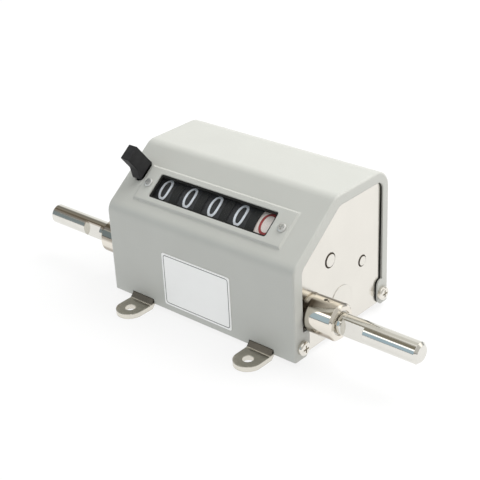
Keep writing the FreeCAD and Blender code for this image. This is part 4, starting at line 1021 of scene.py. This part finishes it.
@dataclass
class LipGapShade:
    """Painted shade: a black strip in the shaded gap along the inner edge of a back lip and its screw tab,
    and round its corners.

    Its outline is a chain of straight runs and arcs in Y and Z, from the tab's foot up to the top corner.
    """

    edge_y: float = 30.75
    tab_y: float = 26.95
    corner_z: float = 62.7
    corner_radius: float = 4.4
    step_z: float = 16.0
    step_radius: float = 3.0
    foot_z: float = 4.25
    foot_angle: float = 225.0
    foot_radius: float = 3.6
    corner_turn: float = 62.0
    inner_x: float = 56.32
    outer_x: float = 56.82
    stand: float = 0.04
    samples: int = 14

    def outline(self) -> np.ndarray:
        """The strip's path: foot arc, tab, step arc, lip, and most of the top corner.

        Returns:
            An array of points in Y and Z.
        """
        foot, step, corner = self.foot_radius, self.step_radius, self.corner_radius
        foot_rise = -foot * math.sin(math.radians(self.foot_angle))
        runs = (
            ((self.tab_y + foot, self.foot_z + foot_rise), foot, (self.foot_angle, 180.0)),
            ((self.tab_y + step, self.step_z - step), step, (180.0, 90.0)),
            ((self.edge_y - corner, self.corner_z), corner, (0.0, self.corner_turn)),
        )
        return np.concatenate([arc(centre, (radius, radius), angles, self.samples)
                               for centre, radius, angles in runs])

    def build(self, dressing: Dressing) -> None:
        """Lay a strip of painted shade along the lip at each end of the body.

        Args:
            dressing: the finishes, which paint the new pieces.
        """
        path = self.outline()
        tangent = np.gradient(path, axis=0)
        tangent /= np.linalg.norm(tangent, axis=1, keepdims=True)
        out = np.stack([-tangent[:, 1], tangent[:, 0]], axis=-1) * self.stand
        for side in Side:
            corners = [(path - out, self.inner_x), (path - out, self.outer_x),
                       (path + out, self.outer_x), (path + out, self.inner_x)]
            edges = [np.column_stack([np.full(len(path), x * side.value), spot]) for spot, x in corners]
            made = mesh_object(side.name.lower() + "_lip_shade_strip", [bar(edges)])
            dressing.add(made, "housing", "lip_shade_black", "enamel")


@dataclass
class AxleShadeRings:
    """Dark rings of painted shade round the axles' ends in the recesses of the side plates.

    Each ring is a profile of radius and place along X, turned about the axle: a hollow fillet that climbs
    the axle as one less the square root of the way out.
    """

    axles: tuple[tuple[str, float, float], ...] = (("drum_axle", 3.0, 3.75), ("pinion_axle", 2.3, 2.95))
    floor_x: float = 55.55
    face_x: float = 56.3
    climb: float = 0.30
    foot: float = 0.12
    wall_gap: float = 0.01
    around: int = 64
    rows: int = 10

    def build(self, dressing: Dressing) -> None:
        """Turn a ring of painted shade about each axle at each end.

        Args:
            dressing: the finishes, which paint the new pieces.
        """
        angle = np.linspace(0.0, 2.0 * math.pi, self.around, endpoint=False)
        share = np.linspace(0.0, 1.0, self.rows)
        for name, inner, outer in self.axles:
            y, z = axle_centre(name)
            radius = inner + self.wall_gap + (outer - inner - 2 * self.wall_gap) * share
            rim = self.floor_x + self.foot
            top = rim + (self.face_x + self.climb - rim) * (1.0 - np.sqrt(share))
            profile = np.concatenate([np.stack([radius, top], axis=-1),
                                      np.stack([radius[::-1], np.full(self.rows, self.floor_x)], axis=-1)])
            for side in Side:
                ring = np.stack([
                    np.broadcast_to(profile[:, 1:] * side.value, (len(profile), self.around)),
                    y + profile[:, :1] * np.cos(angle),
                    z + profile[:, :1] * np.sin(angle),
                ], axis=-1)
                made = mesh_object(f"{side.name.lower()}_{name}_shade_ring", [grid_patch(ring, True, True)])
                dressing.add(made, "housing", "axle_shade_dark", "plated_steel")


# Floor, light and camera


@dataclass(frozen=True)
class Zone:
    """A soft patch of the room: its light, and for some axes where the direction enters it."""

    color: Color
    edges: tuple[tuple[str, float, float], ...] = ()

    def blend(self, nodes: Nodes, parts: bpy.types.Node, under: object) -> bpy.types.NodeSocket:
        """Lay the zone over what lies under it.

        Its share is the product of one smooth step for each edge, from nought at the first value of the
        direction's part to one at the second. A zone without edges covers all.

        Args:
            nodes: the world's node tree.
            parts: the node that splits the direction.
            under: the colour so far.

        Returns:
            The colour with the zone in it.
        """
        steps = [nodes.spread(parts.outputs[axis], 0.0, 1.0, start, end, True)
                 for axis, start, end in self.edges]
        return nodes.mix(nodes.product(steps) if steps else 1.0, under, opaque(self.color))


@dataclass
class Studio:
    """A pale floor, a soft room of light and the photograph's camera."""

    azimuth: float = 42.37
    elevation: float = 27.26
    roll: float = 2.97
    lens: float = 85.8
    sensor: float = 36.0
    near: float = 10.0
    place: Point = (326.8, -362.85, 283.7)
    floor_half: float = 6000.0
    floor_color: Color = (0.16, 0.16, 0.16)
    floor_glow: float = 0.80
    floor_roughness: float = 0.9
    paper_grain: float = 60.0
    paper_mottle: float = 0.01
    zones: tuple[Zone, ...] = (
        Zone((0.40, 0.41, 0.41)),
        Zone((1.62, 1.62, 1.62), (("Z", 0.55, 0.90),)),
        Zone((0.62, 0.61, 0.58), (("X", 0.10, 0.50), ("Z", -0.05, 0.30))),
        Zone((0.95, 0.95, 0.92), (("X", 0.10, -0.30), ("Y", 0.30, 0.60), ("Z", 0.75, 0.60))),
        Zone((1.50, 1.46, 1.38), (("X", 0.35, 0.55), ("Y", 0.35, 0.60),
                                  ("Z", 0.18, 0.34), ("Z", 0.75, 0.58))),
        Zone((0.42, 0.55, 0.64), (("X", -0.05, -0.30), ("Y", -0.10, -0.45), ("Z", 0.60, 0.42))),
        Zone((0.72, 0.71, 0.66), (("X", -0.15, -0.40), ("Y", -0.10, 0.12),
                                  ("Z", 0.60, 0.70), ("Z", 0.95, 0.86))),
        Zone((0.24, 0.22, 0.17), (("X", -0.15, -0.40), ("Y", 0.10, -0.06),
                                  ("Z", 0.61, 0.69), ("Z", 0.95, 0.86))),
        Zone((2.10, 2.10, 2.04), (("X", -0.25, -0.45), ("Y", -0.46, -0.54),
                                  ("Z", 0.48, 0.56), ("Z", 0.67, 0.61))),
        Zone((0.12, 0.11, 0.10), (("Y", -0.05, -0.30), ("Z", 0.08, 0.01))),
    )
    key_size: float = 900.0
    key_power: float = 14.0
    key_place: Point = (450.0, 650.0, 1000.0)

    def camera(self) -> None:
        """Put the camera where the photograph was taken from, turned about its own axis by the roll."""
        turn, rise, tip = (math.radians(item) for item in (self.azimuth, self.elevation, self.roll))
        back = Vector((math.sin(turn) * math.cos(rise), -math.cos(turn) * math.cos(rise), math.sin(rise)))
        ahead = -back
        right = ahead.cross(Vector((0.0, 0.0, 1.0))).normalized()
        down = ahead.cross(right)
        rolled_right = right * math.cos(tip) + down * math.sin(tip)
        rolled_down = down * math.cos(tip) - right * math.sin(tip)
        basis = Matrix((rolled_right, -rolled_down, back)).transposed()
        data = bpy.data.cameras.new("camera")
        data.lens = self.lens
        data.sensor_width = self.sensor
        data.clip_start = self.near * MM
        made = bpy.data.objects.new("camera", data)
        made.matrix_world = Matrix.Translation(Vector(self.place) * MM) @ basis.to_4x4()
        bpy.context.scene.collection.objects.link(made)
        bpy.context.scene.camera = made

    def floor(self) -> None:
        """A large flat floor that glows a little, as an over-lit paper sweep does."""
        half = self.floor_half * MM
        corners = [(-half, -half, 0.0), (half, -half, 0.0), (half, half, 0.0), (-half, half, 0.0)]
        mesh = bpy.data.meshes.new("floor")
        mesh.from_pydata(corners, [], [(0, 1, 2, 3)])
        made = bpy.data.objects.new("floor", mesh)
        bpy.context.scene.collection.objects.link(made)
        graph = Graph("pale_paper")
        paper = graph.spread(graph.noise(self.paper_grain, 2.0), 0.0, 1.0)
        shaded = opaque(self.floor_color, 1.0 - self.paper_mottle)
        graph.put(graph.shader, "Base Color", graph.mix(paper, shaded, opaque(self.floor_color)))
        graph.put(graph.shader, "Roughness", self.floor_roughness)
        graph.put(graph.shader, "Emission Color", opaque(WHITE))
        graph.put(graph.shader, "Emission Strength", self.floor_glow)
        mesh.materials.append(graph.material)

    def room(self) -> None:
        """A room whose walls and ceiling are soft zones of light and dark by direction."""
        world = bpy.data.worlds.new("room")
        bpy.context.scene.world = world
        world.use_nodes = True
        nodes = Nodes(world.node_tree)
        output = nodes.tree.nodes.new("ShaderNodeOutputWorld")
        light = nodes.tree.nodes.new("ShaderNodeBackground")
        nodes.put(output, "Surface", light.outputs["Background"])
        parts = nodes.tree.nodes.new("ShaderNodeSeparateXYZ")
        nodes.put(parts, 0, nodes.tree.nodes.new("ShaderNodeTexCoord").outputs["Generated"])
        color: object = opaque(BLACK)
        for zone in self.zones:
            color = zone.blend(nodes, parts, color)
        nodes.put(light, "Color", color)

    def key(self) -> None:
        """A broad soft light overhead."""
        data = bpy.data.lights.new("overhead", "AREA")
        data.shape = "SQUARE"
        data.size = self.key_size * MM
        data.energy = self.key_power
        made = bpy.data.objects.new("overhead", data)
        spot = Vector(self.key_place) * MM
        made.location = spot
        made.rotation_euler = (-spot).to_track_quat("-Z", "Y").to_euler()
        made.visible_glossy = False
        bpy.context.scene.collection.objects.link(made)

    def build(self) -> None:
        """Set up the whole studio."""
        self.camera()
        self.floor()
        self.room()
        self.key()
        bpy.context.scene.view_settings.view_transform = "Standard"


def main() -> None:
    """Build the scene piece by piece."""
    logging.basicConfig(level=logging.INFO, format="%(name)s: %(message)s")
    studio = Studio()
    studio.build()
    dressing = Dressing()
    LOG.info("dressed %d nodes", dressing.dress_nodes())
    drums = NumberDrums()
    drums.build(dressing)
    DrumMask(drums).build(dressing)
    NamePlate().build(dressing)
    LipGapShade().build(dressing)
    AxleShadeRings().build(dressing)


if __name__ == "__main__":
    main()
